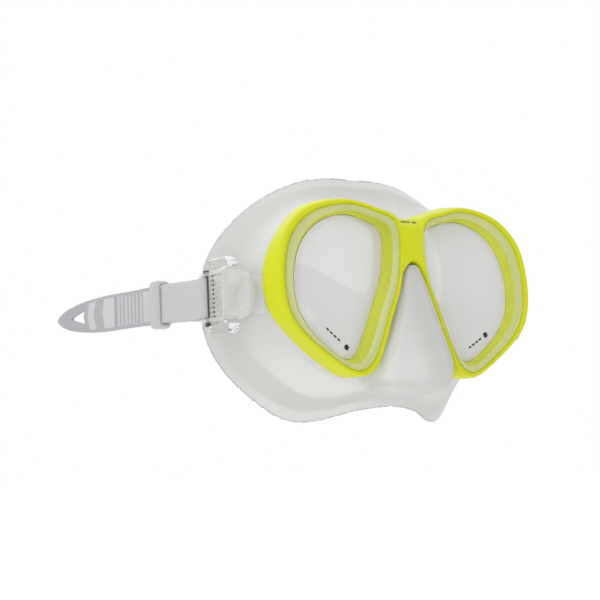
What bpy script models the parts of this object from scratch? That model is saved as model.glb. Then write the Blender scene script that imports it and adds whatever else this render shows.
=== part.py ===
"""Two-window snorkel mask with a silicone skirt, swivel buckles and a split head strap.

Frame: +X is the wearer's left, -Y the front, +Z up. The origin is in the face-seal plane,
on the mask's plane of symmetry, level with the middle of the two windows. Metres.
"""

import math

import bmesh
import bpy
from mathutils import Matrix, Vector

MM = 0.001
GAP = 0.3 * MM              # clearance kept between touching pieces

# Window ring, right-hand half (wearer's left): matched points of three outlines, (x, z) in mm.
# They run from the nose-top corner over the top, down the outer side and up the nose arm.
RING_REAR = [(6.0, 30.5), (20.0, 37.8), (36.2, 40.6), (54.8, 35.2), (67.2, 22.8), (74.3, 8.0),
             (73.6, -8.0), (65.8, -19.5), (49.8, -32.2), (33.5, -40.2), (22.0, -34.5),
             (13.0, -13.5), (6.0, 6.0)]
RING_FRONT = [(6.0, 30.5), (20.0, 37.2), (36.0, 39.8), (55.2, 35.6), (68.2, 24.4), (72.9, 8.0),
              (72.0, -8.2), (65.2, -19.8), (49.2, -31.9), (33.5, -39.8), (22.2, -34.4),
              (13.2, -13.5), (6.3, 6.0)]
RING_GLASS = [(13.2, 24.5), (22.0, 30.0), (34.0, 31.5), (46.5, 27.0), (55.5, 17.5), (59.2, 5.0),
              (58.3, -8.0), (53.0, -17.5), (44.0, -25.8), (36.4, -30.2), (30.6, -27.0),
              (21.8, -9.5), (14.6, 8.0)]
RING_STEPS = 52             # points round each window ring

# Depths at the height of the origin; the whole front leans back towards its top.
LEAN = 0.0875               # depth gained per unit of height, 5 degrees
RIM_Y = -50.2 * MM          # front of the rims beside the nose
RIM_WRAP = 3.6 * MM         # how much further back the rims are at the temples
FRAME_BACK_Y = -35.6 * MM
LENS_FRONT_Y = -41.9 * MM
LENS_THICKNESS = 3.4 * MM
LENS_BEVEL = 0.4 * MM       # depth of the slope round the lens's front face
PLATE_Y = -35.3 * MM        # front face of the skirt's lens plate
PLATE_THICKNESS = 2.3 * MM
BRIDGE_BULGE = 1.4 * MM
ARCH_TOP_Z = 12.7 * MM
NOTCH_Z = 32.0 * MM

# Skirt: outline of the lens plate and of the face-seal edge, half of each, top to bottom.
SKIRT_PLATE = [(0.0, 30.6), (14.0, 33.6), (34.0, 37.4), (51.0, 32.6), (64.0, 21.5), (70.6, 7.5),
               (70.0, -8.0), (63.5, -18.5), (48.5, -30.8), (33.5, -38.2), (18.0, -43.5),
               (9.0, -46.4), (0.0, -47.0)]
SEAL_EDGE = [(0.0, -2.0, 54.6), (25.0, -1.4, 53.4), (47.8, 0.8, 44.6), (66.0, 3.5, 30.6),
             (76.4, 7.8, 13.5), (78.4, 8.7, -5.0), (76.8, 7.8, -21.6), (69.4, 4.2, -37.0),
             (58.8, -3.0, -49.8), (46.4, -10.0, -59.2), (33.0, -17.5, -60.4),
             (17.0, -27.0, -55.6), (0.0, -31.5, -53.5)]
SKIRT_STEPS = 64            # points round the whole skirt
SKIRT_WALL = 1.8 * MM
SEAL_LIP = 0.80             # inner edge of the face seal, as a share of the outer edge
SEAL_WALL = 1.4 * MM

# Nose pocket: height, half width, half width of the ridge and depth of the ridge, in mm.
NOSE_SECTIONS = [(-47.0, 16.0, 10.0, -50.6), (-43.5, 18.6, 13.4, -53.0), (-34.0, 19.6, 14.8, -54.4),
                 (-24.0, 16.2, 11.8, -54.6), (-12.0, 11.2, 8.0, -54.2), (0.0, 7.0, 4.8, -53.0),
                 (6.0, 5.2, 3.4, -51.8), (9.4, 3.8, 2.4, -51.0), (11.4, 2.0, 1.2, -50.2)]
NOSE_BACK = -33.8

# Buckle, in its own frame: u is the distance out from the mask's centre plane, v runs
# towards the back of the head and w up, both from the swivel axis.
SWIVEL_Y = -21.0 * MM
SWIVEL_Z = -3.8 * MM
SWIVEL_REST = math.radians(-4.0)    # the strap droops a little behind the mask
BASE_U = 78.0 * MM
BASE_THICKNESS = 1.6 * MM
BUCKLE_FRONT_V = -13.9 * MM
CHEEK_W = 9.5 * MM          # inner face of each cheek
CHEEK_THICKNESS = 1.6 * MM
CHEEK_V = -1.8 * MM         # front end of the cheeks
CHEEK_U_TOP = 87.2 * MM
COVER_U_TOP = 87.4 * MM
ROLLER_U = 83.6 * MM
ROLLER_V = 15.8 * MM
ROLLER_RADIUS = 2.1 * MM
PIN_RADIUS = 0.9 * MM
LATCH_U = 84.4 * MM
LATCH_V = 0.2 * MM
LATCH_HUB = 1.8 * MM
ARM_HALF_HEIGHT = 8.4 * MM
POST_RADIUS = 2.2 * MM
POST_HEAD = 3.8 * MM
WASHER_THICKNESS = 0.8 * MM
EAR_U = 82.8 * MM           # middle of the release ears
EAR_V = 4.4 * MM
EAR_HALF_LENGTH = 8.8 * MM
EAR_HEIGHT = 4.4 * MM
STEM_U = 82.0 * MM
STEM_V = 5.6 * MM
STEM_HALF_U = 0.9 * MM
STEM_HALF_V = 1.8 * MM
BUTTON_TRAVEL = 1.2 * MM
COMB_RIDGES = 9
COMB_PITCH = 2.0 * MM

# Strap: a band that turns round each roller; the outer run is the tail.
STRAP_THICKNESS = 1.8 * MM
STRAP_WIDTH = 17.8 * MM
TAIL_WIDTH = 17.2 * MM
TAIL_TIP_V = 133.4 * MM
TAIL_TAPER = 45.0 * MM      # length of the tail's rounded end
TAIL_LIFT = 0.008           # rise of the tail per unit of length
TAIL_SPLAY = 0.09           # how fast the tail runs outwards behind the keeper
KEEPER_V = 53.0 * MM
KEEPER_W = 1.3 * MM         # the band rises this much from the roller to the keeper
BACK_V = 80.0 * MM          # middle of the headband, behind the swivel axis
RISE_V = 60.0 * MM          # where the band starts to rise to the headband
BACK_RISE = 6.2 * MM
HEADBAND_WIDTH = 42.0 * MM
WRAP_STEPS = 8              # straight pieces of the turn round a roller


def clear_scene():
    for old in list(bpy.data.objects):
        bpy.data.objects.remove(old, do_unlink=True)


def make_material(name, colour, roughness, metallic=0.0, transmission=0.0):
    material = bpy.data.materials.new(name)
    material.use_nodes = True
    shader = material.node_tree.nodes["Principled BSDF"]
    shader.inputs["Base Color"].default_value = (*colour, 1.0)
    shader.inputs["Roughness"].default_value = roughness
    shader.inputs["Metallic"].default_value = metallic
    shader.inputs["Transmission Weight"].default_value = transmission
    return material


# ---------------------------------------------------------------- curves

def smooth_point(points, position, closed):
    """Point at a float position along a Catmull-Rom curve through the points."""
    count = len(points)
    index = int(math.floor(position))
    t = position - index
    picked = []
    for step in (-1, 0, 1, 2):
        place = index + step
        place = place % count if closed else min(max(place, 0), count - 1)
        picked.append(Vector(points[place]))
    a, b, c, d = picked
    return 0.5 * (2 * b + (c - a) * t + (2 * a - 5 * b + 4 * c - d) * t ** 2
                  + (3 * b - a - 3 * c + d) * t ** 3)


def closed_curve(points, steps):
    return [smooth_point(points, len(points) * i / steps, True) for i in range(steps)]


def mirrored_loop(half, steps):
    """Closed curve from a half outline that starts and ends on the plane of symmetry."""
    left = [Vector((-point[0], *point[1:])) for point in half[-2:0:-1]]
    return closed_curve([Vector(point) for point in half] + left, steps)


def ease(value):
    value = min(max(value, 0.0), 1.0)
    return value * value * (3 - 2 * value)


# ---------------------------------------------------------------- meshes

def add_object(name, mesh_data, material, parent=None):
    """New object from a bmesh, with its faces turned outwards and round sides smooth."""
    bmesh.ops.remove_doubles(mesh_data, verts=mesh_data.verts, dist=1e-6)
    bmesh.ops.recalc_face_normals(mesh_data, faces=mesh_data.faces)
    mesh = bpy.data.meshes.new(name)
    mesh_data.to_mesh(mesh)
    mesh_data.free()
    mesh.shade_smooth()
    mesh.set_sharp_from_angle(angle=math.radians(35))
    made = bpy.data.objects.new(name, mesh)
    bpy.context.scene.collection.objects.link(made)
    if material is not None:
        made.data.materials.append(material)
    made.parent = parent
    return made


def loft(loops, closed_path=False, caps=True):
    """Bmesh skin over loops that have the same number of points."""
    skin = bmesh.new()
    rows = [[skin.verts.new(point) for point in loop] for loop in loops]
    pairs = list(zip(rows, rows[1:]))
    if closed_path:
        pairs.append((rows[-1], rows[0]))
    for first, second in pairs:
        for i in range(len(first)):
            j = (i + 1) % len(first)
            skin.faces.new((first[i], first[j], second[j], second[i]))
    if caps and not closed_path:
        skin.faces.new(rows[0])
        skin.faces.new(rows[-1])
    return skin


def extrude_outline(outline, place, low, high):
    """Prism over a 2-D outline; place(a, b, depth) gives each corner's position."""
    return loft([[place(a, b, depth) for a, b in outline] for depth in (low, high)])


def rounded_box_outline(half_a, half_b, radius, steps=3, centre=(0.0, 0.0)):
    points = []
    for turn, (sa, sb) in enumerate(((1, 1), (-1, 1), (-1, -1), (1, -1))):
        for i in range(steps + 1):
            angle = math.pi / 2 * (turn + i / steps)
            points.append((centre[0] + sa * (half_a - radius) + radius * math.cos(angle),
                           centre[1] + sb * (half_b - radius) + radius * math.sin(angle)))
    return points


def circle_outline(radius, steps, centre=(0.0, 0.0)):
    turn = 2 * math.pi / steps
    return [(centre[0] + radius * math.cos(turn * i), centre[1] + radius * math.sin(turn * i))
            for i in range(steps)]


def combine(target, other, operation):
    """Boolean of another object into the target; the other object is then removed."""
    modifier = target.modifiers.new("combine", "BOOLEAN")
    modifier.operation = operation
    modifier.solver = "EXACT"
    modifier.object = other
    evaluated = target.evaluated_get(bpy.context.evaluated_depsgraph_get())
    result = bpy.data.meshes.new_from_object(evaluated)
    target.modifiers.clear()
    target.data = result
    bpy.data.objects.remove(other, do_unlink=True)


def cut(target, *cutters):
    for cutter in cutters:
        combine(target, cutter, "DIFFERENCE")


def join(target, *others):
    for other in others:
        combine(target, other, "UNION")


# ---------------------------------------------------------------- window rings

REAR = closed_curve(RING_REAR, RING_STEPS)
FRONT = closed_curve(RING_FRONT, RING_STEPS)
GLASS = closed_curve(RING_GLASS, RING_STEPS)


def leaned(x, y, z):
    """Position on the mask's front, which leans back towards its top."""
    return Vector((x, y + LEAN * z, z))


def ring_point(index, side, forward, inset, y):
    """Point of a ring section.

    forward blends from the rear outline (0) to the front outline (1); inset runs
    from that outline (0) to the edge of the visible glass (1).
    """
    outer = REAR[index].lerp(FRONT[index], forward)
    x, z = outer.lerp(GLASS[index], inset) * MM
    return leaned(side * x, y, z)


def rim_y(index):
    """Depth of the rim's front face, which wraps back towards the temple."""
    return RIM_Y + RIM_WRAP * ease(FRONT[index].x / 70.0)


def ring_sweep(side, section):
    """Loop a section round a window; section(index) lists (lean, inset, y) corners."""
    loops = []
    for index in range(RING_STEPS):
        loops.append([ring_point(index, side, *corner) for corner in section(index)])
    return loft(loops, closed_path=True)


def frame_section(index):
    front = rim_y(index)
    return [(0.0, 0.0, FRAME_BACK_Y), (0.0, 0.0, FRAME_BACK_Y - 1.6 * MM),
            (0.75, 0.0, front + 3.2 * MM), (1.0, 0.03, front + 0.9 * MM), (1.0, 0.10, front),
            (1.0, 0.19, front), (1.0, 0.24, front + 0.8 * MM), (1.0, 0.26, front + 2.3 * MM),
            (0.9, 0.46, front + 2.4 * MM), (0.4, 0.60, LENS_FRONT_Y - 0.9 * MM),
            (0.4, 0.66, LENS_FRONT_Y + 0.1 * MM), (0.4, 0.815, LENS_FRONT_Y + 0.1 * MM),
            (0.4, 0.815, FRAME_BACK_Y)]


def bezel_section(index):
    front = rim_y(index) + 0.8 * MM
    back = LENS_FRONT_Y - GAP
    middle = (front + back) / 2
    return [(1.0, 0.31, front), (1.0, 0.45, front), (0.7, 0.80, middle),
            (0.4, 1.0, back - 0.6 * MM), (0.4, 1.0, back), (0.4, 0.70, back),
            (0.4, 0.70, back - 0.8 * MM), (0.9, 0.53, front + 1.1 * MM), (1.0, 0.31, front + 1.1 * MM)]


def window_loft(name, side, sections, material=None):
    """Solid with the window's outline; sections lists (inset, y) from front to back."""
    loops = []
    for inset, y in sections:
        loops.append([ring_point(index, side, 0.4, inset, y) for index in range(RING_STEPS)])
    return add_object(name, loft(loops), material)


def build_bridge():
    """Block over the nose that joins the two rings."""
    loops = []
    steps = 6
    half = 6.6
    for i in range(-steps, steps + 1):
        x = half * i / steps
        top = NOTCH_Z - 0.6 * MM + 0.02 * MM * x * x
        bottom = ARCH_TOP_Z - 0.16 * MM * x * x
        bulge = BRIDGE_BULGE * (1.0 - (i / steps) ** 2)
        low_front = RIM_Y + 0.6 * MM - bulge
        high_front = RIM_Y + 1.4 * MM - bulge
        corners = [(low_front + 1.2 * MM, bottom), (low_front, bottom + 1.2 * MM),
                   (high_front, top - 2.4 * MM), (high_front + 1.8 * MM, top),
                   (FRAME_BACK_Y, top), (FRAME_BACK_Y, bottom)]
        loops.append([leaned(x * MM, y, z) for y, z in corners])
    return add_object("bridge", loft(loops), None)


def build_frame(material):
    frame = add_object("frame", ring_sweep(1, frame_section), material)
    join(frame, add_object("other_ring", ring_sweep(-1, frame_section), None), build_bridge())
    repaint(frame, material)
    return frame


def build_windows(side, suffix, clear_plastic, glass):
    add_object("bezel_" + suffix, ring_sweep(side, bezel_section), clear_plastic)
    window_loft("lens_" + suffix, side,
                [(1.04, LENS_FRONT_Y), (0.84, LENS_FRONT_Y + LENS_BEVEL),
                 (0.84, LENS_FRONT_Y + LENS_THICKNESS)], glass)


# ---------------------------------------------------------------- skirt

def skirt_wall(plate, edge, share, shrink):
    """Loop on the skirt's wall; share runs from the lens plate (0) to the seal edge (1)."""
    loop = []
    for start, end in zip(plate, edge):
        flare = share ** 1.35
        x, z = start.x + (end.x - start.x) * flare, start.y + (end.y - start.y) * flare
        inward = Vector((-x, -z)).normalized() * shrink
        front = PLATE_Y + LEAN * start.y * MM
        y = front + (end.z * MM - front) * share
        loop.append(Vector((x * MM + inward.x, y, z * MM + inward.y)))
    return loop


def seal_loop(edge, share, depth):
    """Loop on the face seal, which curves forward as it runs in from the edge."""
    loop = []
    for end in edge:
        curl = 11.0 * MM * (1.0 - share) * 2.5 * abs(end.x) / 80.0 + 3.0 * MM * (1.0 - share)
        loop.append(Vector((end.x * share * MM, end.z * MM - curl - depth, end.y * share * MM)))
    return loop


def nose_loops(shrink):
    """Sections of the nose pocket, from its tip up to the arch of the frame."""
    loops = []
    for z, half_width, ridge, front in NOSE_SECTIONS:
        width = max(half_width - shrink, 0.9)
        tip = max(ridge - shrink, 0.5)
        ahead = front + shrink
        back = NOSE_BACK + 3.0 if shrink else NOSE_BACK
        height = z
        if z < -45.0:
            height += shrink
        elif z > 5.0:
            height -= shrink
        side = (width + tip) / 2 + 0.6
        row = [(-width, back), (-width, -44.0), (-side, ahead + 2.6), (-tip, ahead + 0.7),
               (0.0, ahead), (tip, ahead + 0.7), (side, ahead + 2.6), (width, -44.0),
               (width, back)]
        loops.append([leaned(x * MM, y * MM, height * MM) for x, y in row])
    return loops


def build_skirt(material):
    """One silicone moulding: lens plate, wall, face seal and nose pocket."""
    plate = mirrored_loop(SKIRT_PLATE, SKIRT_STEPS)
    edge = mirrored_loop([(x, z, y) for x, y, z in SEAL_EDGE], SKIRT_STEPS)
    outside = [skirt_wall(plate, edge, share, 0.0) for share in (0.0, 0.12, 0.38, 0.7, 0.92, 1.0)]
    seal = [seal_loop(edge, 0.93, 0.0), seal_loop(edge, SEAL_LIP, 0.0),
            seal_loop(edge, SEAL_LIP, SEAL_WALL), seal_loop(edge, 0.93, SEAL_WALL)]
    inside = [skirt_wall(plate, edge, share, SKIRT_WALL) for share in (0.92, 0.7, 0.38, 0.16)]
    last = [Vector((p.x, PLATE_Y + PLATE_THICKNESS + LEAN * p.z, p.z)) for p in inside[-1]]
    skirt = add_object("skirt", loft(outside + seal + inside[:-1] + [last]), None)
    join(skirt, add_object("nose_outer", loft(nose_loops(0.0)), None))
    cut(skirt, add_object("nose_inner", loft(nose_loops(SKIRT_WALL / MM)), None))
    for side in (1, -1):
        cut(skirt, window_loft("window", side, [(0.92, PLATE_Y - 1.0 * MM),
                                                (0.92, PLATE_Y + PLATE_THICKNESS + 1.0 * MM)]))
    repaint(skirt, material)


# ---------------------------------------------------------------- buckles

def add_pivot():
    """Empty on the swivel axis that carries everything that turns with the strap."""
    pivot = bpy.data.objects.new("swivel_axis", None)
    bpy.context.scene.collection.objects.link(pivot)
    pivot.location = (0.0, SWIVEL_Y, SWIVEL_Z)
    pivot.rotation_euler = (SWIVEL_REST, 0.0, 0.0)
    bpy.context.view_layer.update()
    return pivot


def plate(name, side, outline, low, high, material=None, parent=None):
    """Plate across the out-from-the-mask direction; the outline is in (v, w)."""
    skin = extrude_outline(outline, lambda v, w, u: Vector((side * u, v, w)), low, high)
    return add_object(name, skin, material, parent)


def bar(name, side, outline, low, high, material=None, parent=None):
    """Bar along w; the outline is in (u, v)."""
    skin = extrude_outline(outline, lambda u, v, w: Vector((side * u, v, w)), low, high)
    return add_object(name, skin, material, parent)


def d_outline(inset=0.0, back=0.0, steps=14):
    """Outline of the buckle's body, with a round front end, in (v, w)."""
    half = CHEEK_W + CHEEK_THICKNESS - inset
    front = BUCKLE_FRONT_V + inset
    points = [(back, half)]
    for i in range(steps + 1):
        angle = math.pi / 2 + math.pi * i / steps
        points.append((front + half + half * math.cos(angle), half * math.sin(angle)))
    points.append((back, -half))
    return points


def repaint(piece, material):
    """One material over the whole piece, also on the faces that a Boolean added."""
    piece.data.materials.clear()
    piece.data.materials.append(material)


def move_origin(piece, u, v, w):
    """Put a moving piece's origin on its joint's axis, in the buckle's frame."""
    offset = Vector((u, v, w))
    piece.data.transform(Matrix.Translation(-offset))
    piece.location = offset


def pin_hole(side, radius, centre, reach, pivot):
    return bar("hole", side, circle_outline(radius + GAP, 12, centre), -reach, reach, None, pivot)


def post_hole(side, centre, pivot=None):
    return plate("hole", side, circle_outline(POST_RADIUS + GAP, 16, centre),
                 60.0 * MM, 95.0 * MM, None, pivot)


def build_anchor(side, suffix, clear_plastic):
    """Arm from the frame's side to the swivel, with its post and washer."""
    centre = (SWIVEL_Y, SWIVEL_Z)
    inner = [(71.6, -34.8), (72.4, -31.0), (73.6, -27.4), (74.6, -24.0), (75.0, -13.0)]
    outline = inner + [(x + 1.6, y) for x, y in reversed(inner)]
    arm = bar("anchor_" + suffix, side, [(x * MM, y * MM) for x, y in outline],
              SWIVEL_Z - ARM_HALF_HEIGHT, SWIVEL_Z + ARM_HALF_HEIGHT, clear_plastic)
    join(arm, plate("boss", side, circle_outline(4.4 * MM, 20, centre), 76.0 * MM, BASE_U - GAP))
    cut(arm, post_hole(side, centre))
    repaint(arm, clear_plastic)
    head_low = BASE_U + BASE_THICKNESS + WASHER_THICKNESS + 2 * GAP
    post = plate("swivel_post_" + suffix, side, circle_outline(POST_RADIUS, 16, centre),
                 75.8 * MM, head_low + 0.4 * MM, clear_plastic)
    join(post, plate("head", side, circle_outline(POST_HEAD, 20, centre),
                     head_low, head_low + 1.0 * MM))
    repaint(post, clear_plastic)
    washer = plate("swivel_washer_" + suffix, side, circle_outline(4.2 * MM, 20, centre),
                   BASE_U + BASE_THICKNESS + GAP, head_low - GAP, clear_plastic)
    cut(washer, post_hole(side, centre))
    repaint(washer, clear_plastic)


def build_base(side, suffix, pivot, material):
    """Back plate of the buckle with the two cheeks that carry the pins."""
    base = plate("buckle_base_" + suffix, side, d_outline(0.0, 10.6 * MM), BASE_U,
                 BASE_U + BASE_THICKNESS, material, pivot)
    back = ROLLER_V + 3.0 * MM
    cheek = [(BASE_U + 0.6 * MM, CHEEK_V), (BASE_U + 0.6 * MM, back - 1.6 * MM),
             (BASE_U + 2.2 * MM, back), (CHEEK_U_TOP - 1.8 * MM, back),
             (CHEEK_U_TOP, back - 1.8 * MM), (CHEEK_U_TOP, CHEEK_V)]
    for end in (1, -1):
        low, high = sorted((end * CHEEK_W, end * (CHEEK_W + CHEEK_THICKNESS)))
        join(base, bar("cheek", side, cheek, low, high, None, pivot))
    reach = CHEEK_W + CHEEK_THICKNESS + 1.0 * MM
    cut(base, pin_hole(side, PIN_RADIUS, (ROLLER_U, ROLLER_V), reach, pivot),
        pin_hole(side, PIN_RADIUS, (LATCH_U, LATCH_V), reach, pivot),
        post_hole(side, (0.0, 0.0), pivot))
    slot = rounded_box_outline(STEM_HALF_U + GAP, STEM_HALF_V + GAP, 0.5 * MM, 2, (STEM_U, STEM_V))
    for end in (1, -1):
        low, high = sorted((end * (CHEEK_W - 1.0 * MM), end * reach))
        cut(base, bar("slot", side, slot, low, high, None, pivot))
    repaint(base, material)


def cover_solid(name, side, inset, pivot, material=None):
    """Cap with a nose that slopes down to the front, moved in on all sides by inset."""
    low = BASE_U + BASE_THICKNESS + GAP
    top = COVER_U_TOP - inset
    back = 2.0 * MM if inset else CHEEK_V - GAP
    solid = plate(name, side, d_outline(inset, back), low - inset, COVER_U_TOP + 1.0 * MM,
                  material, pivot)
    slope = [(low - inset - 1.0 * MM, BUCKLE_FRONT_V - 1.0 * MM),
             (low + 0.9 * MM - inset, BUCKLE_FRONT_V - 1.0 * MM),
             (low + 0.9 * MM - inset, BUCKLE_FRONT_V + inset),
             (top - 3.4 * MM, BUCKLE_FRONT_V + 3.4 * MM), (top - 1.4 * MM, BUCKLE_FRONT_V + 7.2 * MM),
             (top, BUCKLE_FRONT_V + 10.2 * MM), (top, 3.0 * MM), (low - inset - 1.0 * MM, 3.0 * MM)]
    half = CHEEK_W + CHEEK_THICKNESS
    combine(solid, bar("slope", side, slope, inset - half, half - inset, None, pivot), "INTERSECT")
    return solid


def build_cover(side, suffix, pivot, material):
    """Clear cap over the swivel, open towards the latch."""
    cover = cover_solid("buckle_cover_" + suffix, side, 0.0, pivot, material)
    cut(cover, cover_solid("hollow", side, 1.3 * MM, pivot))
    repaint(cover, material)


def build_button(side, name, end, pivot, material):
    """Release ear above or below the buckle, with a stem through its cheek."""
    low = CHEEK_W + CHEEK_THICKNESS + BUTTON_TRAVEL + GAP
    loops = []
    for shrink, share in ((0.7, 0.0), (0.0, 0.2), (0.0, 0.56), (0.9, 0.87), (2.4, 1.0)):
        outline = rounded_box_outline((3.3 - shrink / 2) * MM, EAR_HALF_LENGTH - shrink * MM,
                                      (1.9 - shrink / 4) * MM, 3, (EAR_U, EAR_V))
        w = end * (low + share * EAR_HEIGHT)
        loops.append([Vector((side * u, v, w)) for u, v in outline])
    ear = add_object(name, loft(loops), material, pivot)
    stem = rounded_box_outline(STEM_HALF_U, STEM_HALF_V, 0.4 * MM, 2, (STEM_U, STEM_V))
    span = sorted((end * (CHEEK_W - 1.0 * MM), end * (low + 1.0 * MM)))
    join(ear, bar("stem", side, stem, *span, None, pivot))
    repaint(ear, material)
    move_origin(ear, side * STEM_U, STEM_V, end * low)


def build_latch(side, suffix, pivot, material):
    """Sprung comb that bears on the strap, on a pin between the cheeks."""
    half = CHEEK_W - 0.5 * MM
    latch = bar("latch_" + suffix, side, circle_outline(LATCH_HUB, 16, (LATCH_U, LATCH_V)),
                -half, half, material, pivot)
    tip = ROLLER_V - ROLLER_RADIUS - STRAP_THICKNESS - 2 * GAP
    blade = [(LATCH_U - 0.1 * MM, LATCH_V), (LATCH_U + 0.2 * MM, tip),
             (LATCH_U + 1.1 * MM, tip), (LATCH_U + 1.5 * MM, LATCH_V)]
    join(latch, bar("blade", side, blade, -half, half, None, pivot))
    ridge = [(LATCH_U + 0.7 * MM, LATCH_V + 1.4 * MM), (LATCH_U + 0.7 * MM, tip - 0.5 * MM),
             (LATCH_U + 1.8 * MM, tip - 1.0 * MM), (LATCH_U + 2.1 * MM, LATCH_V + 2.0 * MM)]
    for i in range(COMB_RIDGES):
        middle = (i - (COMB_RIDGES - 1) / 2) * COMB_PITCH
        join(latch, bar("ridge", side, ridge, middle - 0.5 * MM, middle + 0.5 * MM, None, pivot))
    cut(latch, pin_hole(side, PIN_RADIUS, (LATCH_U, LATCH_V), half + 1.0 * MM, pivot))
    repaint(latch, material)
    move_origin(latch, side * LATCH_U, LATCH_V, 0.0)


def build_pins(side, suffix, pivot, clear_plastic, steel):
    """Roller with its pin, and the latch's pin."""
    half = CHEEK_W - 0.6 * MM
    roller_outline = circle_outline(ROLLER_RADIUS, 20, (ROLLER_U, ROLLER_V))
    roller = bar("strap_roller_" + suffix, side, roller_outline, -half, half, clear_plastic, pivot)
    cut(roller, pin_hole(side, PIN_RADIUS, (ROLLER_U, ROLLER_V), half + 1.0 * MM, pivot))
    repaint(roller, clear_plastic)
    move_origin(roller, side * ROLLER_U, ROLLER_V, 0.0)
    reach = CHEEK_W + CHEEK_THICKNESS + 0.8 * MM
    for name, centre, end in (("roller_pin_", (ROLLER_U, ROLLER_V), reach),
                              ("latch_pin_", (LATCH_U, LATCH_V), reach - 0.8 * MM)):
        bar(name + suffix, side, circle_outline(PIN_RADIUS, 12, centre), -end, end, steel, pivot)


def build_springs(side, suffix, pivot, steel):
    """Bowed leaf between the ears' stems, and the leaf that closes the latch."""
    bow = [(7.4, 6.7), (6.0, 4.6), (5.2, 2.3), (4.9, 0.0), (5.2, -2.3), (6.0, -4.6), (7.4, -6.7)]
    outline = [(v * MM, w * MM) for v, w in bow]
    outline += [(v + 0.5 * MM, w) for v, w in reversed(outline)]
    plate("button_spring_" + suffix, side, outline, BASE_U + 2.0 * MM, BASE_U + 3.4 * MM,
          steel, pivot)
    leaf = [(1.9, -8.9), (1.9, -5.9), (4.3, -1.7), (4.6, -1.9), (2.3, -6.1), (2.3, -8.9)]
    bar("latch_spring_" + suffix, side, [(BASE_U + u * MM, v * MM) for u, v in leaf],
        4.6 * MM, 7.4 * MM, steel, pivot)


# ---------------------------------------------------------------- strap

def tail_u(v):
    """Distance out of the tail behind the roller."""
    wrap = ROLLER_RADIUS + GAP + STRAP_THICKNESS / 2
    start = ROLLER_U + wrap
    return start - 0.4 * MM + TAIL_SPLAY * max(0.0, v - KEEPER_V - 6.0 * MM)


def half_path():
    """Middle line of the band from one tail's tip round its roller to the back, in (u, v)."""
    wrap = ROLLER_RADIUS + GAP + STRAP_THICKNESS / 2
    points = []
    for back in (0.3, 2.2, 5.5, 10.0, 16.0, 24.0, 34.0, 46.0, 60.0):
        v = TAIL_TIP_V - back * MM
        points.append((tail_u(v), v))
    points += [(tail_u(v), v) for v in (KEEPER_V + 6.0 * MM, KEEPER_V - 6.0 * MM,
                                        KEEPER_V - 22.0 * MM)]
    for i in range(WRAP_STEPS + 1):
        angle = math.pi * i / WRAP_STEPS
        points.append((ROLLER_U + wrap * math.cos(angle), ROLLER_V - wrap * math.sin(angle)))
    inner = tail_u(0.0) - STRAP_THICKNESS - 1.2 * MM
    points += [(ROLLER_U - wrap, ROLLER_V + 5.0 * MM), (inner - 1.4 * MM, KEEPER_V - 24.0 * MM),
               (inner, KEEPER_V - 7.0 * MM), (inner, KEEPER_V + 7.0 * MM)]
    bend = [(82.0, -14.6), (76.6, -9.4), (68.0, -5.6), (57.0, -3.4), (46.0, -2.0), (35.0, -1.1),
            (24.0, -0.5), (12.0, -0.1), (0.0, 0.0)]
    points += [(u * MM, BACK_V + v * MM) for u, v in bend]
    return points


def band_edges(u, v, on_tail):
    """Lower and upper edge of the band at a place on its path."""
    half = STRAP_WIDTH / 2
    middle = KEEPER_W * ease((v - ROLLER_V) / (KEEPER_V - ROLLER_V))
    if on_tail:
        half += (TAIL_WIDTH / 2 - half) * ease((v - KEEPER_V) / (20.0 * MM))
        left = min((TAIL_TIP_V - v) / TAIL_TAPER, 1.0)
        half *= math.sqrt(1.0 - (1.0 - left) ** 2)
        middle += TAIL_LIFT * max(0.0, v - KEEPER_V)
    elif v > RISE_V:
        middle += (BACK_RISE - KEEPER_W) * ease((v - RISE_V) / (18.0 * MM))
        half += (HEADBAND_WIDTH / 2 - half) * ease((46.0 * MM - abs(u)) / (22.0 * MM))
    return middle - half, middle + half


def build_strap(pivot, material):
    """One moulding: two tails, the bands round the rollers and the split headband."""
    right = half_path()
    tail_points = 12
    path = [(-u, v, i < tail_points) for i, (u, v) in enumerate(right)]
    path += [(-u, v, tail) for u, v, tail in path[-2::-1]]
    loops = []
    for i, (u, v, on_tail) in enumerate(path):
        before, after = path[max(i - 1, 0)], path[min(i + 1, len(path) - 1)]
        direction = Vector((after[0] - before[0], after[1] - before[1])).normalized()
        across = Vector((-direction.y, direction.x)) * STRAP_THICKNESS / 2
        low, high = band_edges(u, v, on_tail)
        loops.append([Vector((u + across.x, v + across.y, low)),
                      Vector((u + across.x, v + across.y, high)),
                      Vector((u - across.x, v - across.y, high)),
                      Vector((u - across.x, v - across.y, low))])
    strap = add_object("strap", loft(loops), material, pivot)
    split = []
    for i in range(12):
        angle = 2 * math.pi * i / 12
        split.append((30.0 * MM * math.cos(angle), BACK_RISE + 6.4 * MM * math.sin(angle)))
    cutter = loft([[Vector((u, BACK_V + depth * MM, w)) for u, w in split]
                   for depth in (-12.0, 12.0)])
    cut(strap, add_object("split", cutter, None, pivot))
    for side in (1, -1):
        blunt, sharp = TAIL_TIP_V - 21.0 * MM, TAIL_TIP_V - 12.5 * MM
        lift = KEEPER_W + TAIL_LIFT * (TAIL_TIP_V - KEEPER_V)
        hole = [(blunt, lift + 3.2 * MM), (blunt, lift - 3.2 * MM),
                (sharp, lift - 0.7 * MM), (sharp, lift + 0.7 * MM)]
        cut(strap, plate("tail_hole", side, hole, 80.0 * MM, 110.0 * MM, None, pivot))
    repaint(strap, material)


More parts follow.
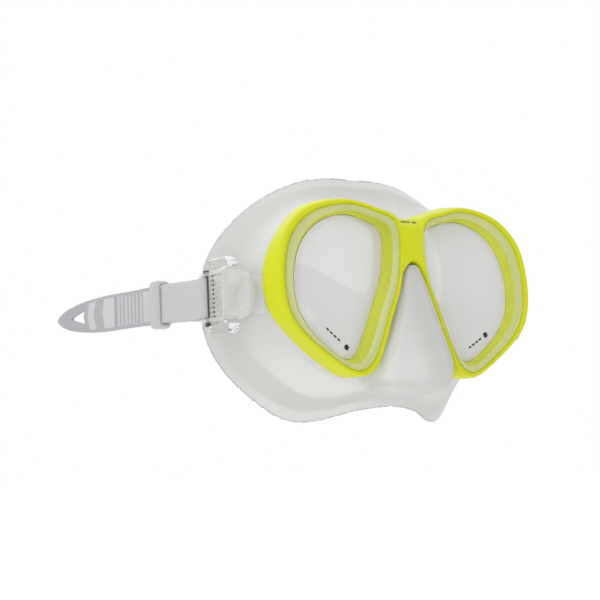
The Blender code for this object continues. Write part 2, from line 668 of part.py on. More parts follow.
def build_keeper(side, suffix, pivot, material):
    """Loop that holds the tail against the band."""
    centre = (tail_u(0.0) - STRAP_THICKNESS / 2 - 0.6 * MM, KEEPER_W)
    outer = rounded_box_outline(4.1 * MM, STRAP_WIDTH / 2 + 2.2 * MM, 1.6 * MM, 3, centre)
    inner = rounded_box_outline(2.8 * MM, STRAP_WIDTH / 2 + 0.9 * MM, 0.6 * MM, 3, centre)
    low, high = KEEPER_V - 4.0 * MM, KEEPER_V + 4.0 * MM

    def place(u, w, v):
        return Vector((side * u, v, w))

    keeper = add_object("keeper_" + suffix, extrude_outline(outer, place, low, high),
                        material, pivot)
    cut(keeper, add_object("hollow", extrude_outline(inner, place, low - 0.01, high + 0.01),
                           None, pivot))
    repaint(keeper, material)
    move_origin(keeper, side * centre[0], KEEPER_V, KEEPER_W)


def main():
    clear_scene()
    yellow = make_material("frame_yellow", (0.62, 0.76, 0.02), 0.3)
    silicone = make_material("clear_silicone", (0.72, 0.73, 0.72), 0.4, transmission=0.4)
    clear = make_material("clear_plastic", (0.85, 0.87, 0.87), 0.08, transmission=0.8)
    glass = make_material("tempered_glass", (0.80, 0.83, 0.84), 0.03, transmission=0.9)
    steel = make_material("steel", (0.45, 0.46, 0.47), 0.3, metallic=1.0)
    build_frame(yellow)
    build_skirt(silicone)
    pivot = add_pivot()
    build_strap(pivot, silicone)
    for side, suffix in ((1, "left"), (-1, "right")):
        build_windows(side, suffix, clear, glass)
        build_anchor(side, suffix, clear)
        build_base(side, suffix, pivot, clear)
        build_cover(side, suffix, pivot, clear)
        build_button(side, "upper_button_" + suffix, 1, pivot, clear)
        build_button(side, "lower_button_" + suffix, -1, pivot, clear)
        build_latch(side, suffix, pivot, clear)
        build_pins(side, suffix, pivot, clear, steel)
        build_springs(side, suffix, pivot, steel)
        build_keeper(side, suffix, pivot, silicone)


main()
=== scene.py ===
import math

import bmesh
import bpy
from mathutils import Matrix, Vector, kdtree
from mathutils.bvhtree import BVHTree


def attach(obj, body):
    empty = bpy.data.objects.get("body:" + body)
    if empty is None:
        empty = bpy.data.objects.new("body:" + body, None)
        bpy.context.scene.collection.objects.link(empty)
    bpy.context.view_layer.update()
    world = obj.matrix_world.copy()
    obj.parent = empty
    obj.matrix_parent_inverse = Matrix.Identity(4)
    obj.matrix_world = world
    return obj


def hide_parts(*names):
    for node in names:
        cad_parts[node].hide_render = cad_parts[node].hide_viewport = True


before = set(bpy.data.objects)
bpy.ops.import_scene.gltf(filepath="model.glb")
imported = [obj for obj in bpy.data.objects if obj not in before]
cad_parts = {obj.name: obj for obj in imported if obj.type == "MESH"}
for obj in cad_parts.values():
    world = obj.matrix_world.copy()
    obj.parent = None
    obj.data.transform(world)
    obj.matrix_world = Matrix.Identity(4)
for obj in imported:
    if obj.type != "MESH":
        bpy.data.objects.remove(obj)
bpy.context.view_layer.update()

# Metres, +Z up. The wearer looks along -Y, and the mask's left side is at +X.
MM = 0.001
SIDES = ((1, "left"), (-1, "right"))
WHITE = (1.0, 1.0, 1.0, 1.0)

# ---------------- camera

# The camera stands in front, towards the mask's right, a little low, and looks slightly up.
HEADING = math.radians(36.0)
ACROSS = Vector((math.cos(HEADING), -math.sin(HEADING), 0.0))
AHEAD = Vector((math.sin(HEADING), math.cos(HEADING), 0.0))
PITCH = math.atan(1.0 / 18.0)
LENS_LENGTH = 118.8
SENSOR_WIDTH = 36.0
CAMERA_TARGET = Vector((0.0, -0.045, 0.0))
CAMERA_BACK = 0.900
CAMERA_ASIDE = 0.04955
CAMERA_Z = -0.0545


def place_object(name, data):
    made = bpy.data.objects.new(name, data)
    bpy.context.scene.collection.objects.link(made)
    return made


def add_camera():
    data = bpy.data.cameras.new("camera")
    data.sensor_width = SENSOR_WIDTH
    data.lens = LENS_LENGTH
    camera = place_object("camera", data)
    camera.location = CAMERA_TARGET - AHEAD * CAMERA_BACK - ACROSS * CAMERA_ASIDE
    camera.location.z = CAMERA_Z
    forward = AHEAD * math.cos(PITCH) + Vector((0.0, 0.0, math.sin(PITCH)))
    camera.rotation_mode = "QUATERNION"
    camera.rotation_quaternion = forward.to_track_quat("-Z", "Y")
    bpy.context.scene.camera = camera


# ---------------- studio

# The room's light fades from full to ROOM_DIM towards the camera's side, along ROOM_AXIS.
ROOM_AXIS = AHEAD + ACROSS * -0.5
ROOM_DIM = 0.55
FADE_START = -0.9
FADE_STOP = 0.2
FLOOR_HALF = 6.0
FLOOR_Z = -0.34
FLOOR_PAINT = (0.93, 0.93, 0.93, 1.0)
FLOOR_ROUGHNESS = 0.9
FLOOR_GLOW_SEEN = 0.45
FLOOR_GLOW_BELOW = 0.08
# Name, place, what it points at, size and power of each lamp.
LAMPS = [("key", (-0.85, -0.55, 0.75), (0, -0.02, 0), (0.9, 0.9), 3.2),
         ("fill", (0.75, -0.55, 0.35), (0, -0.02, 0), (0.8, 0.8), 0.35),
         ("back", (0.2, 0.8, 0.6), (0, 0.02, 0), (0.8, 0.6), 0.8)]


def add_lamp(name, place, target, size, power):
    data = bpy.data.lights.new(name, "AREA")
    data.shape = "RECTANGLE"
    data.size, data.size_y = size
    data.energy = power
    lamp = place_object(name, data)
    lamp.location = place
    lamp.rotation_mode = "QUATERNION"
    lamp.rotation_quaternion = (Vector(target) - Vector(place)).to_track_quat("-Z", "Y")


def lift_floor(tree, shader):
    """The floor looks white and sends less light up under the mask."""
    path = tree.nodes.new("ShaderNodeLightPath")
    glow = tree.nodes.new("ShaderNodeMapRange")
    glow.inputs["To Min"].default_value = FLOOR_GLOW_BELOW
    glow.inputs["To Max"].default_value = FLOOR_GLOW_SEEN
    tree.links.new(path.outputs["Is Camera Ray"], glow.inputs["Value"])
    tree.links.new(glow.outputs["Result"], shader.inputs["Emission Strength"])


def add_floor():
    corners = [(x * FLOOR_HALF, y * FLOOR_HALF, FLOOR_Z) for x, y in ((-1, -1), (1, -1), (1, 1), (-1, 1))]
    mesh = bpy.data.meshes.new("floor")
    mesh.from_pydata(corners, [], [(0, 1, 2, 3)])
    floor = place_object("floor", mesh)
    material = bpy.data.materials.new("floor_paint")
    material.use_nodes = True
    shader = material.node_tree.nodes["Principled BSDF"]
    shader.inputs["Base Color"].default_value = FLOOR_PAINT
    shader.inputs["Roughness"].default_value = FLOOR_ROUGHNESS
    shader.inputs["Emission Color"].default_value = WHITE
    lift_floor(material.node_tree, shader)
    mesh.materials.append(material)


def add_room():
    """A room that looks white and lights the mask less from the camera's side."""
    world = bpy.data.worlds.new("studio")
    bpy.context.scene.world = world
    world.use_nodes = True
    tree = world.node_tree
    background = tree.nodes["Background"]
    background.inputs["Color"].default_value = WHITE
    place = tree.nodes.new("ShaderNodeTexCoord")
    toward = tree.nodes.new("ShaderNodeVectorMath")
    toward.operation = "DOT_PRODUCT"
    toward.inputs[1].default_value = ROOM_AXIS
    tree.links.new(place.outputs["Generated"], toward.inputs[0])
    fade = tree.nodes.new("ShaderNodeMapRange")
    fade.inputs["From Min"].default_value = FADE_START
    fade.inputs["From Max"].default_value = FADE_STOP
    fade.inputs["To Min"].default_value = ROOM_DIM
    tree.links.new(toward.outputs["Value"], fade.inputs["Value"])
    path = tree.nodes.new("ShaderNodeLightPath")
    seen = tree.nodes.new("ShaderNodeMath")
    seen.operation = "MAXIMUM"
    tree.links.new(path.outputs["Is Camera Ray"], seen.inputs[0])
    tree.links.new(fade.outputs["Result"], seen.inputs[1])
    tree.links.new(seen.outputs["Value"], background.inputs["Strength"])


def add_studio():
    bpy.context.scene.view_settings.view_transform = "Standard"
    add_room()
    add_floor()
    for lamp in LAMPS:
        add_lamp(*lamp)


# ---------------- materials

COLOUR_STOPS = (0.3, 0.7)
ROUGHNESS_CHANGE = 0.15
GRAIN_DEPTH = 0.2 * MM
# Strength and scale of the fine surface relief.
SILICONE_GRAIN = (0.06, 700.0)
FRAME_GRAIN = (0.05, 900.0)


def add_grain(tree, place, shader, strength, scale):
    grain = tree.nodes.new("ShaderNodeTexNoise")
    grain.inputs["Scale"].default_value = scale
    tree.links.new(place.outputs["Object"], grain.inputs["Vector"])
    relief = tree.nodes.new("ShaderNodeBump")
    relief.inputs["Strength"].default_value = strength
    relief.inputs["Distance"].default_value = GRAIN_DEPTH
    tree.links.new(grain.outputs["Fac"], relief.inputs["Height"])
    tree.links.new(relief.outputs["Normal"], shader.inputs["Normal"])


def new_material(name, colour, roughness, change, scale, grain=None, **sockets):
    """Principled material whose colour and roughness vary softly; _ in a socket's name is a space."""
    material = bpy.data.materials.new(name)
    material.use_nodes = True
    tree = material.node_tree
    shader = tree.nodes["Principled BSDF"]
    for label, value in sockets.items():
        shader.inputs[label.replace("_", " ")].default_value = value
    place = tree.nodes.new("ShaderNodeTexCoord")
    noise = tree.nodes.new("ShaderNodeTexNoise")
    noise.inputs["Scale"].default_value = scale
    tree.links.new(place.outputs["Object"], noise.inputs["Vector"])
    ramp = tree.nodes.new("ShaderNodeValToRGB")
    for element, stop, way in zip(ramp.color_ramp.elements, COLOUR_STOPS, (-1, 1)):
        element.position = stop
        element.color = (*[min(c * (1 + way * change), 1.0) for c in colour], 1.0)
    tree.links.new(noise.outputs["Fac"], ramp.inputs["Fac"])
    tree.links.new(ramp.outputs["Color"], shader.inputs["Base Color"])
    spread = tree.nodes.new("ShaderNodeMapRange")
    spread.inputs["To Min"].default_value = roughness * (1 - ROUGHNESS_CHANGE)
    spread.inputs["To Max"].default_value = roughness * (1 + ROUGHNESS_CHANGE)
    tree.links.new(noise.outputs["Fac"], spread.inputs["Value"])
    tree.links.new(spread.outputs["Result"], shader.inputs["Roughness"])
    if grain:
        add_grain(tree, place, shader, *grain)
    return material


def make_materials():
    return {
        "yellow": new_material("frame_yellow", (0.70, 0.74, 0.012), 0.42, 0.02, 30.0, FRAME_GRAIN,
                               Specular_IOR_Level=0.2, Coat_Weight=0.08, Coat_Roughness=0.25),
        "silicone": new_material("clear_silicone", (0.91, 0.91, 0.895), 0.34, 0.015, 25.0,
                                 SILICONE_GRAIN, Transmission_Weight=0.5, IOR=1.35),
        # Darker grey for painted shade along the face seal's edge.
        "rim": new_material("silicone_rim_shade", (0.58, 0.58, 0.57), 0.34, 0.015, 25.0,
                            Transmission_Weight=0.2, IOR=1.35),
        "band": new_material("strap_silicone", (0.745, 0.745, 0.745), 0.38, 0.015, 25.0,
                             SILICONE_GRAIN, Transmission_Weight=0.3, IOR=1.38),
        # Darker grey for painted shade on the tails, round their pads and ribs.
        "tail_shade": new_material("strap_painted_shade", (0.545, 0.545, 0.58), 0.38, 0.015, 25.0,
                             Transmission_Weight=0.3, IOR=1.38),
        "clear": new_material("clear_plastic", (0.93, 0.935, 0.93), 0.04, 0.005, 40.0,
                              Transmission_Weight=1.0, IOR=1.22, Coat_Weight=1.0, Coat_IOR=1.5,
                              Coat_Roughness=0.03),
        "sheet": new_material("clear_sheet", (0.95, 0.95, 0.925), 0.06, 0.01, 40.0, Alpha=0.30,
                              IOR=1.5, Coat_Weight=1.0, Coat_Roughness=0.03),
        "bezel_clear": new_material("bezel_clear", (0.86, 0.88, 0.60), 0.05, 0.01, 40.0, Alpha=0.06,
                                    IOR=1.3, Coat_Weight=0.5, Coat_Roughness=0.03),
        # Pale milky colour on the clear bezel's lip: painted reflection.
        "bezel_lip_reflection": new_material("bezel_lip_reflection", (0.78, 0.80, 0.60), 0.12, 0.02, 40.0, Alpha=0.42,
                                    IOR=1.45, Coat_Weight=1.0, Coat_Roughness=0.05),
        # Tempered glass that lets only part of the light through and is otherwise an even light grey: a
        # painted reflection of the studio.
        "glass": new_material("tempered_glass", (0.97, 0.965, 0.98), 0.02, 0.01, 20.0,
                              Transmission_Weight=0.35, IOR=1.45),
        "steel": new_material("steel", (0.12, 0.12, 0.125), 0.3, 0.05, 200.0, Metallic=1.0),
        "spring": new_material("spring_steel", (0.62, 0.62, 0.63), 0.3, 0.05, 200.0, Metallic=1.0),
        "mark_paint": new_material("print_black", (0.012, 0.012, 0.012), 0.5, 0.1, 200.0),
        # Dark grey for painted shade and shadow on the comb.
        "shade": new_material("comb_painted_shade", (0.10, 0.10, 0.104), 0.5, 0.1, 200.0),
    }


# ---------------- curves and meshes

MELT_ROUNDS = 6
# Edges that bend by more degrees than this are drawn sharp.
SHARP_ANGLE = 40.0
BEVELLED_SHARP_ANGLE = 50.0
SOFT_SHARP_ANGLE = 60.0


def smooth_point(points, position, closed):
    """Point on a Catmull-Rom curve, at a position counted in its points."""
    count = len(points)
    index = int(math.floor(position))
    t = position - index
    picked = []
    for step in (-1, 0, 1, 2):
        place = index + step
        place = place % count if closed else min(max(place, 0), count - 1)
        picked.append(Vector(points[place]))
    a, b, c, d = picked
    return 0.5 * (2 * b + (c - a) * t + (2 * a - 5 * b + 4 * c - d) * t ** 2
                  + (3 * b - a - 3 * c + d) * t ** 3)


def closed_curve(points, steps):
    return [smooth_point(points, len(points) * i / steps, True) for i in range(steps)]


def open_curve(points, steps):
    return [smooth_point(points, (len(points) - 1) * i / steps, False) for i in range(steps + 1)]


def mirrored_loop(half, steps):
    """Closed curve through half an outline and its mirror image across x = 0."""
    return closed_curve(half + [(-point[0], *point[1:]) for point in half[-2:0:-1]], steps)


def ease(value):
    value = min(max(value, 0.0), 1.0)
    return value * value * (3 - 2 * value)


def bump_at(value, middle, half, soft):
    """1 within half of the middle, falling softly to 0."""
    return 1.0 - ease((abs(value - middle) - half) / soft)


def rounded(points, radius, steps=4):
    """Corners of a closed 3-D or 2-D outline replaced by short curves of steps + 1 points."""
    points = [Vector(p) for p in points]
    result = []
    for i, corner in enumerate(points):
        before, after = points[i - 1] - corner, points[(i + 1) % len(points)] - corner
        reach = min(radius, before.length * 0.45, after.length * 0.45)
        start = corner + before.normalized() * reach
        end = corner + after.normalized() * reach
        for k in range(steps + 1):
            t = k / steps
            result.append(start * (1 - t) ** 2 + corner * 2 * t * (1 - t) + end * t * t)
    return result


def add_object(name, skin, sharp=SHARP_ANGLE):
    bmesh.ops.remove_doubles(skin, verts=skin.verts, dist=1e-6)
    bmesh.ops.recalc_face_normals(skin, faces=skin.faces)
    mesh = bpy.data.meshes.new(name)
    skin.to_mesh(mesh)
    skin.free()
    mesh.shade_smooth()
    mesh.set_sharp_from_angle(angle=math.radians(sharp))
    return place_object(name, mesh)


def loft(loops, closed_path=False):
    """Skin over loops of equally many points, with flat ends unless the path is closed."""
    skin = bmesh.new()
    rows = [[skin.verts.new(point) for point in loop] for loop in loops]
    pairs = list(zip(rows, rows[1:]))
    if closed_path:
        pairs.append((rows[-1], rows[0]))
    for first, second in pairs:
        for i in range(len(first)):
            j = (i + 1) % len(first)
            skin.faces.new((first[i], first[j], second[j], second[i]))
    if not closed_path:
        skin.faces.new(rows[0])
        skin.faces.new(rows[-1])
    return skin


def extrude(name, outline, place, low, high):
    """Solid between two depths, where place turns (a, b, depth) into a point."""
    return add_object(name, loft([[place(a, b, depth) for a, b in outline] for depth in (low, high)]))


def circle_outline(radius, steps, centre=(0.0, 0.0)):
    turn = 2 * math.pi / steps
    return [(centre[0] + radius * math.cos(turn * i), centre[1] + radius * math.sin(turn * i))
            for i in range(steps)]


def rounded_box_outline(half_a, half_b, radius, steps=6, centre=(0.0, 0.0)):
    points = []
    for turn, (sa, sb) in enumerate(((1, 1), (-1, 1), (-1, -1), (1, -1))):
        for i in range(steps + 1):
            angle = math.pi / 2 * (turn + i / steps)
            points.append((centre[0] + sa * (half_a - radius) + radius * math.cos(angle),
                           centre[1] + sb * (half_b - radius) + radius * math.sin(angle)))
    return points


def bake_modifiers(piece):
    evaluated = piece.evaluated_get(bpy.context.evaluated_depsgraph_get())
    result = bpy.data.meshes.new_from_object(evaluated)
    piece.modifiers.clear()
    piece.data = result


def combine(target, other, operation):
    modifier = target.modifiers.new("combine", "BOOLEAN")
    modifier.operation = operation
    modifier.solver = "EXACT"
    modifier.object = other
    bake_modifiers(target)
    bpy.data.objects.remove(other, do_unlink=True)


def cut(target, *cutters):
    for cutter in cutters:
        combine(target, cutter, "DIFFERENCE")


def join(target, *others):
    for other in others:
        combine(target, other, "UNION")


def melt(piece, voxel):
    """Even skin over a joined solid, with its inner corners smoothed."""
    remesh = piece.modifiers.new("skin", "REMESH")
    remesh.mode = "VOXEL"
    remesh.voxel_size = voxel
    remesh.use_smooth_shade = True
    smooth = piece.modifiers.new("smooth", "SMOOTH")
    smooth.iterations = MELT_ROUNDS
    bake_modifiers(piece)
    piece.data.shade_smooth()


def soften(piece, width, segments=2, angle=35.0):
    """Small rounds on the sharp edges of a moulded or machined piece."""
    bevel = piece.modifiers.new("round", "BEVEL")
    bevel.width = width
    bevel.segments = segments
    bevel.limit_method = "ANGLE"
    bevel.angle_limit = math.radians(angle)
    bake_modifiers(piece)
    piece.data.shade_smooth()
    piece.data.set_sharp_from_angle(angle=math.radians(BEVELLED_SHARP_ANGLE))


def finish_piece(piece, material, body, node):
    """Paint the piece, put it on its body, and let it stand in for its CAD node."""
    piece.data.materials.clear()
    piece.data.materials.append(material)
    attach(piece, body)
    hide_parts(node)


# ---------------- window rings

# Outlines (x, z) of the left window, in mm: the frame's back edge, its front edge and the glass.
RING_REAR = [(6.0, 30.5), (20.0, 37.8), (36.2, 40.6), (54.8, 35.2), (67.2, 22.8), (74.3, 8.0),
             (73.6, -8.0), (65.8, -19.5), (49.8, -32.2), (33.5, -40.2), (22.0, -34.5),
             (13.0, -13.5), (6.0, 6.0)]
RING_FRONT = [(6.0, 30.5), (20.0, 37.2), (36.0, 39.8), (55.2, 35.6), (68.2, 24.4), (72.9, 8.0),
              (72.0, -8.2), (65.2, -19.8), (49.2, -31.9), (33.5, -39.8), (22.2, -34.4),
              (13.2, -13.5), (6.3, 6.0)]
RING_GLASS = [(13.2, 24.5), (22.0, 30.0), (34.0, 31.5), (46.5, 27.0), (55.5, 17.5), (59.2, 5.0),
              (58.3, -8.0), (53.0, -17.5), (44.0, -25.8), (36.4, -30.2), (30.6, -27.0),
              (21.8, -9.5), (14.6, 8.0)]
RING_STEPS = 208
# The windows tilt: y grows by LEAN for each step up in z.
LEAN = 0.0875
# The glass's outline lies this far from the back edge towards the front edge.
GLASS_FORWARD = 0.4
CORNER_STEPS = 4
GAP = 0.3 * MM

RIM_Y = -50.2 * MM
RIM_WRAP = 3.6 * MM
RIM_REACH = 70.0
FRAME_BACK_Y = -35.6 * MM
FRAME_ROUND = 0.7 * MM
FRAME_VOXEL = 0.42 * MM
LENS_FRONT_Y = -41.9 * MM
LENS_THICKNESS = 3.4 * MM
LENS_STEP = 0.4 * MM
# Insets of the lens's front face, its edge and the opening behind it in the skirt.
LENS_FACE = 1.04
LENS_EDGE = 0.84
LENS_OPENING = 0.92
PLATE_Y = -35.3 * MM
PLATE_THICKNESS = 2.3 * MM

BEZEL_ROUND = 0.35 * MM
# The bezel's first three corners are its lip, painted pale and milky as a painted reflection, and the rest
# is clear.
REFLECTION_LIP_POINTS = 3 * (CORNER_STEPS + 1)

BRIDGE_HALF = 6.6 * MM
BRIDGE_STEPS = 24
BRIDGE_ROUND = 1.2 * MM
BRIDGE_BULGE = 1.4 * MM
ARCH_TOP_Z = 12.7 * MM
ARCH_BACK = 0.6 * MM
ARCH_CURVE = 0.16 * MM
SADDLE_Z = 32.8 * MM
SADDLE_DROP = 4.2 * MM
SADDLE_RUN = 5.2 * MM
SADDLE_CURVE = 0.02 * MM

REAR = closed_curve(RING_REAR, RING_STEPS)
FRONT = closed_curve(RING_FRONT, RING_STEPS)
GLASS = closed_curve(RING_GLASS, RING_STEPS)


def leaned(x, y, z):
    return Vector((x, y + LEAN * z, z))


def ring_point(index, side, forward, inset, y):
    """Point of a ring: forward from the back to the front edge, then inset towards the glass."""
    outer = REAR[index].lerp(FRONT[index], forward)
    x, z = outer.lerp(GLASS[index], inset) * MM
    return leaned(side * x, y, z)


def rim_y(index):
    """The frame's front rim, which wraps back towards the temple."""
    return RIM_Y + RIM_WRAP * ease(FRONT[index].x / RIM_REACH)


def ring_sweep(side, section, radius):
    loops = []
    for index in range(RING_STEPS):
        corners = [ring_point(index, side, *corner) for corner in section(index)]
        loops.append(rounded(corners, radius, CORNER_STEPS))
    return loft(loops, closed_path=True)


def frame_section(index):
    """Corners (forward, inset, y) of the frame's section, which holds the lens in a step."""
    front = rim_y(index)
    seat = LENS_FRONT_Y + 0.1 * MM
    return [(0.0, 0.0, FRAME_BACK_Y), (0.0, 0.0, FRAME_BACK_Y - 1.6 * MM),
            (0.75, 0.0, front + 3.2 * MM), (1.0, 0.03, front + 0.9 * MM), (1.0, 0.10, front),
            (1.0, 0.19, front), (1.0, 0.24, front + 0.8 * MM), (1.0, 0.26, front + 2.3 * MM),
            (0.9, 0.46, front + 2.4 * MM), (GLASS_FORWARD, 0.60, LENS_FRONT_Y - 0.9 * MM),
            (GLASS_FORWARD, 0.66, seat), (GLASS_FORWARD, 0.815, seat),
            (GLASS_FORWARD, 0.815, FRAME_BACK_Y)]


def bezel_section(index):
    """Corners (forward, inset, y) of the bezel's section: a lip, a slope and a foot on the glass."""
    front = rim_y(index) + 0.8 * MM
    back = LENS_FRONT_Y - GAP
    middle = (front + back) / 2
    shoulder = front * 0.57 + middle * 0.43
    return [(1.0, 0.31, front), (1.0, 0.45, front), (0.87, 0.60, shoulder), (0.7, 0.80, middle),
            (GLASS_FORWARD, 1.0, back - 0.6 * MM), (GLASS_FORWARD, 1.0, back),
            (GLASS_FORWARD, 0.70, back), (GLASS_FORWARD, 0.70, back - 0.8 * MM),
            (0.9, 0.53, front + 1.1 * MM), (1.0, 0.31, front + 1.1 * MM)]


def window_loft(name, side, sections):
    """Solid in the glass's outline, through (inset, y) sections."""
    loops = []
    for inset, y in sections:
        loops.append([ring_point(index, side, GLASS_FORWARD, inset, y) for index in range(RING_STEPS)])
    return add_object(name, loft(loops))


def build_bridge():
    loops = []
    half = BRIDGE_HALF / MM
    for i in range(-BRIDGE_STEPS, BRIDGE_STEPS + 1):
        x = half * i / BRIDGE_STEPS
        top = SADDLE_Z + SADDLE_CURVE * x * x
        bottom = ARCH_TOP_Z - ARCH_CURVE * x * x
        bulge = BRIDGE_BULGE * (1.0 - (i / BRIDGE_STEPS) ** 2)
        low_front = RIM_Y + ARCH_BACK - bulge
        high_front = RIM_Y + BRIDGE_BULGE - bulge
        corners = [(low_front + BRIDGE_ROUND, bottom), (low_front, bottom + BRIDGE_ROUND),
                   (high_front, top - SADDLE_DROP), (high_front + SADDLE_RUN, top),
                   (FRAME_BACK_Y, top), (FRAME_BACK_Y, bottom)]
        loops.append(rounded([leaned(x * MM, y, z) for y, z in corners], BRIDGE_ROUND))
    return add_object("bridge", loft(loops))


def build_frame(material, mark_paint):
    shell = add_object("frame_shell", ring_sweep(1, frame_section, FRAME_ROUND))
    join(shell, add_object("other_ring", ring_sweep(-1, frame_section, FRAME_ROUND)), build_bridge())
    melt(shell, FRAME_VOXEL)
    finish_piece(shell, material, "mask", "frame")
    print_bridge(shell, mark_paint)


def build_windows(paint):
    for side, suffix in SIDES:
        bezel = add_object("bezel_ring_" + suffix, ring_sweep(side, bezel_section, BEZEL_ROUND))
        finish_piece(bezel, paint["bezel_clear"], "mask", "bezel_" + suffix)
        # The lip's faces take the pale milky colour, a painted reflection.
        bezel.data.materials.append(paint["bezel_lip_reflection"])
        round_points = (CORNER_STEPS + 1) * len(bezel_section(0))
        for face in bezel.data.polygons:
            places = [index % round_points for index in face.vertices]
            if 0 < max(places) < REFLECTION_LIP_POINTS:
                face.material_index = 1
        lens = window_loft("window_" + suffix, side,
                           [(LENS_FACE, LENS_FRONT_Y), (LENS_EDGE, LENS_FRONT_Y + LENS_STEP),
                            (LENS_EDGE, LENS_FRONT_Y + LENS_THICKNESS)])
        finish_piece(lens, paint["glass"], "mask", "lens_" + suffix)
        print_window(lens, side, paint["mark_paint"])


# ---------------- printed marks

PRINT_HEIGHT = 0.06 * MM
PRINT_DEPTH = 0.4 * MM
PRINT_ROUND = 0.8
# By side: where a window's line of marks starts (x, z in mm), its turn in degrees, and how far
# along it the first dash and the dot are, in mm.
WINDOW_LINES = {1: ((36.5, -25.8), 31.0, 1.0, 12.6), -1: ((-48.0, -16.6), -38.0, 3.6, 16.4)}
DASHES = 4
DASH_PITCH = 2.5
DASH_HALVES = (0.85 * MM, 0.42 * MM)
DOT_HALVES = (1.25 * MM, 1.25 * MM)
# The bridge's dash and dot as (x, up the slope, half length, half height, turn).
BRIDGE_MARKS = [(-1.6 * MM, 0.0, 2.6 * MM, 0.42 * MM, 0.0), (3.6 * MM, 0.0, 1.2 * MM, 0.55 * MM, 0.0)]
BRIDGE_MARK_SHARE = 0.6
RAY_START = 4.0 * MM


def add_print(piece, mark_paint, marks, place, depth=PRINT_DEPTH):
    """Thin raised marks in one paint, print or painted shade; marks lists (a, b, half a, half b, turn) in
    their own plane.
    """
    skin = bmesh.new()
    skin.from_mesh(piece.data)
    piece.data.materials.append(mark_paint)
    mark_index = len(piece.data.materials) - 1
    for a, b, half_a, half_b, turn in marks:
        outline = rounded_box_outline(half_a, half_b, min(half_a, half_b) * PRINT_ROUND)
        rows = []
        for lift in (-depth, PRINT_HEIGHT):
            row = []
            for p, q in outline:
                along = a + p * math.cos(turn) - q * math.sin(turn)
                up = b + p * math.sin(turn) + q * math.cos(turn)
                row.append(skin.verts.new(place(along, up, lift)))
            rows.append(row)
        faces = [skin.faces.new(rows[1]), skin.faces.new(reversed(rows[0]))]
        for i in range(len(outline)):
            j = (i + 1) % len(outline)
            faces.append(skin.faces.new((rows[0][i], rows[0][j], rows[1][j], rows[1][i])))
        for face in faces:
            face.material_index = mark_index
        bmesh.ops.recalc_face_normals(skin, faces=faces)
    skin.to_mesh(piece.data)
    skin.free()


def print_window(piece, side, mark_paint):
    """A row of dashes and a dot along the glass's lower outer edge."""
    corner, degrees, first, dot = WINDOW_LINES[side]
    start, turn = Vector(corner) * MM, math.radians(degrees)
    run = Vector((math.cos(turn), math.sin(turn)))
    marks = []
    for i in range(DASHES):
        spot = start + run * (first + DASH_PITCH * i) * MM
        marks.append((*spot, *DASH_HALVES, turn))
    marks.append((*(start + run * dot * MM), *DOT_HALVES, turn))
    add_print(piece, mark_paint, marks, lambda x, z, lift: leaned(x, LENS_FRONT_Y - lift, z))


def print_bridge(piece, mark_paint):
    """Two small plain marks on the slope over the bridge, dropped onto the frame's own skin."""
    up_slope = Vector((0.0, SADDLE_RUN, SADDLE_DROP)).normalized()
    out = Vector((0.0, -up_slope.z, up_slope.y))
    middle_y = RIM_Y + BRIDGE_MARK_SHARE * SADDLE_RUN
    middle_z = SADDLE_Z - (1 - BRIDGE_MARK_SHARE) * SADDLE_DROP
    mesh = piece.data
    surface = BVHTree.FromPolygons([v.co for v in mesh.vertices], [f.vertices for f in mesh.polygons])

    def on_slope(x, up, lift):
        spot = leaned(x, middle_y, middle_z) + up_slope * up
        landing = surface.ray_cast(spot + out * RAY_START, -out)[0]
        return landing + out * (lift + PRINT_HEIGHT)

    add_print(piece, mark_paint, BRIDGE_MARKS, on_slope)


# ---------------- skirt

# Half of the lens plate's outline (x, z), and half of the face seal's edge (x, z, y), in mm.
SKIRT_PLATE = [(0.0, 30.6), (14.0, 33.6), (34.0, 37.4), (51.0, 32.6), (64.0, 21.5), (70.6, 7.5),
               (70.0, -8.0), (63.5, -18.5), (48.5, -30.8), (33.5, -38.2), (18.0, -43.5),
               (9.0, -46.4), (0.0, -47.0)]
SEAL_EDGE = [(0.0, 54.6, -2.0), (25.0, 53.4, -1.4), (47.8, 44.6, 0.8), (66.0, 30.6, 3.5),
             (76.4, 13.5, 7.8), (78.4, -5.0, 8.7), (76.8, -21.6, 7.8), (69.4, -37.0, 4.2),
             (58.8, -49.8, -3.0), (46.4, -59.2, -10.0), (33.0, -60.4, -17.5),
             (17.0, -55.6, -27.0), (0.0, -53.5, -31.5)]
SKIRT_STEPS = 288
SKIRT_VOXEL = 0.5 * MM
SKIRT_WALL = 1.8 * MM
WALL_ROWS = 24
WALL_FLARE = 1.35
# The wall's inside starts this share of the way from the lens plate to the seal, and runs back.
INSIDE_START = 0.92
INSIDE_RUN = 0.76
INSIDE_ROWS = 18

# How far the seal turns in from its edge, and its other face out again, as shares of the way
# to the middle.
SEAL_RUN = 0.20
LIP_RUN = 0.13
SEAL_ROWS = 10
LIP_ROWS = 7
SEAL_WALL = 1.4 * MM
# How far the painted shade reaches in from the seal's edge.
SEAL_SHADE_REACH = 1.25 * MM
SEAL_DROP = 3.0 * MM
# How much further forward the seal curls for each mm to the side.
SEAL_CURL = 0.34375 * MM

# The nose pocket's sections: height, half width, half width of the ridge and y of the front, in mm.
NOSE_SECTIONS = [(-47.0, 16.0, 10.0, -50.6), (-43.5, 18.6, 13.4, -53.0), (-34.0, 19.6, 14.8, -54.4),
                 (-24.0, 16.2, 11.8, -54.6), (-12.0, 11.2, 8.0, -54.2), (0.0, 7.0, 4.8, -53.0),
                 (6.0, 5.2, 3.4, -51.8), (9.4, 3.8, 2.4, -51.0), (11.4, 2.0, 1.2, -50.2)]
NOSE_BACK = -33.8
NOSE_SIDE = -44.0
NOSE_ROWS = 36
NOSE_STEPS = 48


